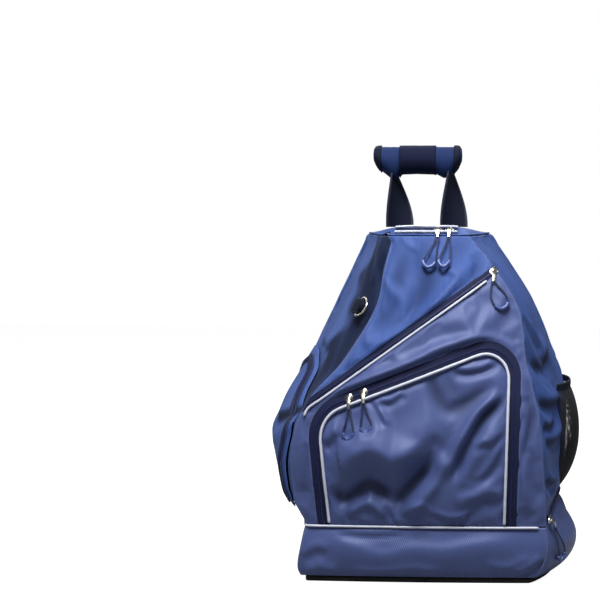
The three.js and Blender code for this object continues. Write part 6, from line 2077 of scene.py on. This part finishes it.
# %% Moulded and cast materials
def moulded(name, colour, roughness, metallic, size, bump, coat=0.0, tone=0.12):
    """Plastic, rubber-like sole or cast nickel: grain in the height, smudges in the gloss."""
    material, n, shader = shader_of(name)
    place = n.add("ShaderNodeTexCoord").outputs["Object"]
    grain = use_group(n, "grain", {"Place": place, "Colour": linear(colour), "Size": size, "Tone": tone})
    rough = n.math("MULTIPLY_ADD", n.math("SUBTRACT", grain.outputs["Smudge"], 0.5), 0.25, roughness)
    bumped = n.add("ShaderNodeBump", {"Height": grain.outputs["Height"], "Strength": 1.0, "Distance": bump * MM})
    links = n.tree.links
    links.new(grain.outputs["Colour"], shader.inputs["Base Color"])
    links.new(rough, shader.inputs["Roughness"])
    links.new(bumped.outputs["Normal"], shader.inputs["Normal"])
    shader.inputs["Metallic"].default_value = metallic
    shader.inputs["Coat Weight"].default_value = coat
    return material


MATERIALS["sleeve"] = moulded("sleeve plastic", "31457c", 0.42, 0.0, 1200, 0.03, coat=0.15)
MATERIALS["buckle"] = moulded("buckle plastic", "15171c", 0.42, 0.0, 1500, 0.05)
MATERIALS["metal"] = moulded("nickel", "b5b2aa", 0.24, 1.0, 1100, 0.02, tone=0.2)
MATERIALS["sole"] = moulded("sole cloth", "111214", 0.66, 0.0, 1400, 0.15)
for finish, pieces_of_it in FINISHES.items():
    for made in pieces_of_it:
        made.data.materials.clear()
        made.data.materials.append(MATERIALS[finish])
print("finishes:", {finish: len(made) for finish, made in FINISHES.items()})
# %% [markdown]
# ## Light and floor
# A catalogue picture has a white backdrop that is brighter than the bag. Here the floor and the room glow only
# for the camera, so the picture stays white while the bag itself is lit by lamps alone. The key lamp hangs high
# in front: every slope that faces up is bright and the underside of every fold goes dark, which draws the cloth.
# Two side lamps put a sheen on the end walls.

# %% Floor
FLOOR_SIZE = 4.0
FLOOR_GLOW = 0.95
floor_data = bpy.data.meshes.new("floor")
corners = [(-FLOOR_SIZE, -FLOOR_SIZE), (FLOOR_SIZE, -FLOOR_SIZE), (FLOOR_SIZE, FLOOR_SIZE), (-FLOOR_SIZE, FLOOR_SIZE)]
floor_data.from_pydata([(x, y, 0) for x, y in corners], [], [(0, 1, 2, 3)])
floor = bpy.data.objects.new("floor", floor_data)
bpy.context.scene.collection.objects.link(floor)
floor_material, n, floor_shader = shader_of("floor")
seen = n.add("ShaderNodeLightPath").outputs["Is Camera Ray"]
n.tree.links.new(n.math("MULTIPLY", seen, FLOOR_GLOW), floor_shader.inputs["Emission Strength"])
floor_shader.inputs["Emission Color"].default_value = (1, 1, 1, 1)
floor_shader.inputs["Base Color"].default_value = (0.3, 0.3, 0.3, 1)
floor_shader.inputs["Roughness"].default_value = 0.9
floor_shader.inputs["Specular IOR Level"].default_value = 0.1
floor_data.materials.append(floor_material)

# %% Lamps and room
LAMPS = {  # azimuth and elevation in degrees, distance, size, power in watts
    "key": (-4, 60, 1.7, 0.8, 60),
    "right": (80, 34, 1.8, 0.8, 6),
    "left": (-112, 30, 1.8, 0.8, 9),
    "behind": (175, 50, 1.8, 1.0, 14),
}
ROOM_LIGHT = 0.07
for label, (azimuth, elevation, distance, size, power) in LAMPS.items():
    lamp_data = bpy.data.lights.new(label, "AREA")
    lamp_data.size = size
    lamp_data.energy = power
    lamp = bpy.data.objects.new(label, lamp_data)
    away = view_direction(math.radians(azimuth), math.radians(elevation))
    lamp.location = TARGET + away * distance
    lamp.rotation_euler = (-away).to_track_quat("-Z", "Y").to_euler()
    bpy.context.scene.collection.objects.link(lamp)
world = bpy.data.worlds.new("room")
bpy.context.scene.world = world
world.use_nodes = True
n = Nodes(world.node_tree)
seen = n.add("ShaderNodeLightPath").outputs["Is Camera Ray"]
background = world.node_tree.nodes["Background"]
n.tree.links.new(n.math("MULTIPLY_ADD", seen, 1.0 - ROOM_LIGHT, ROOM_LIGHT), background.inputs["Strength"])
background.inputs["Color"].default_value = (1, 1, 1, 1)
bpy.context.scene.view_settings.view_transform = "Standard"
print("lamps:", ", ".join(LAMPS))
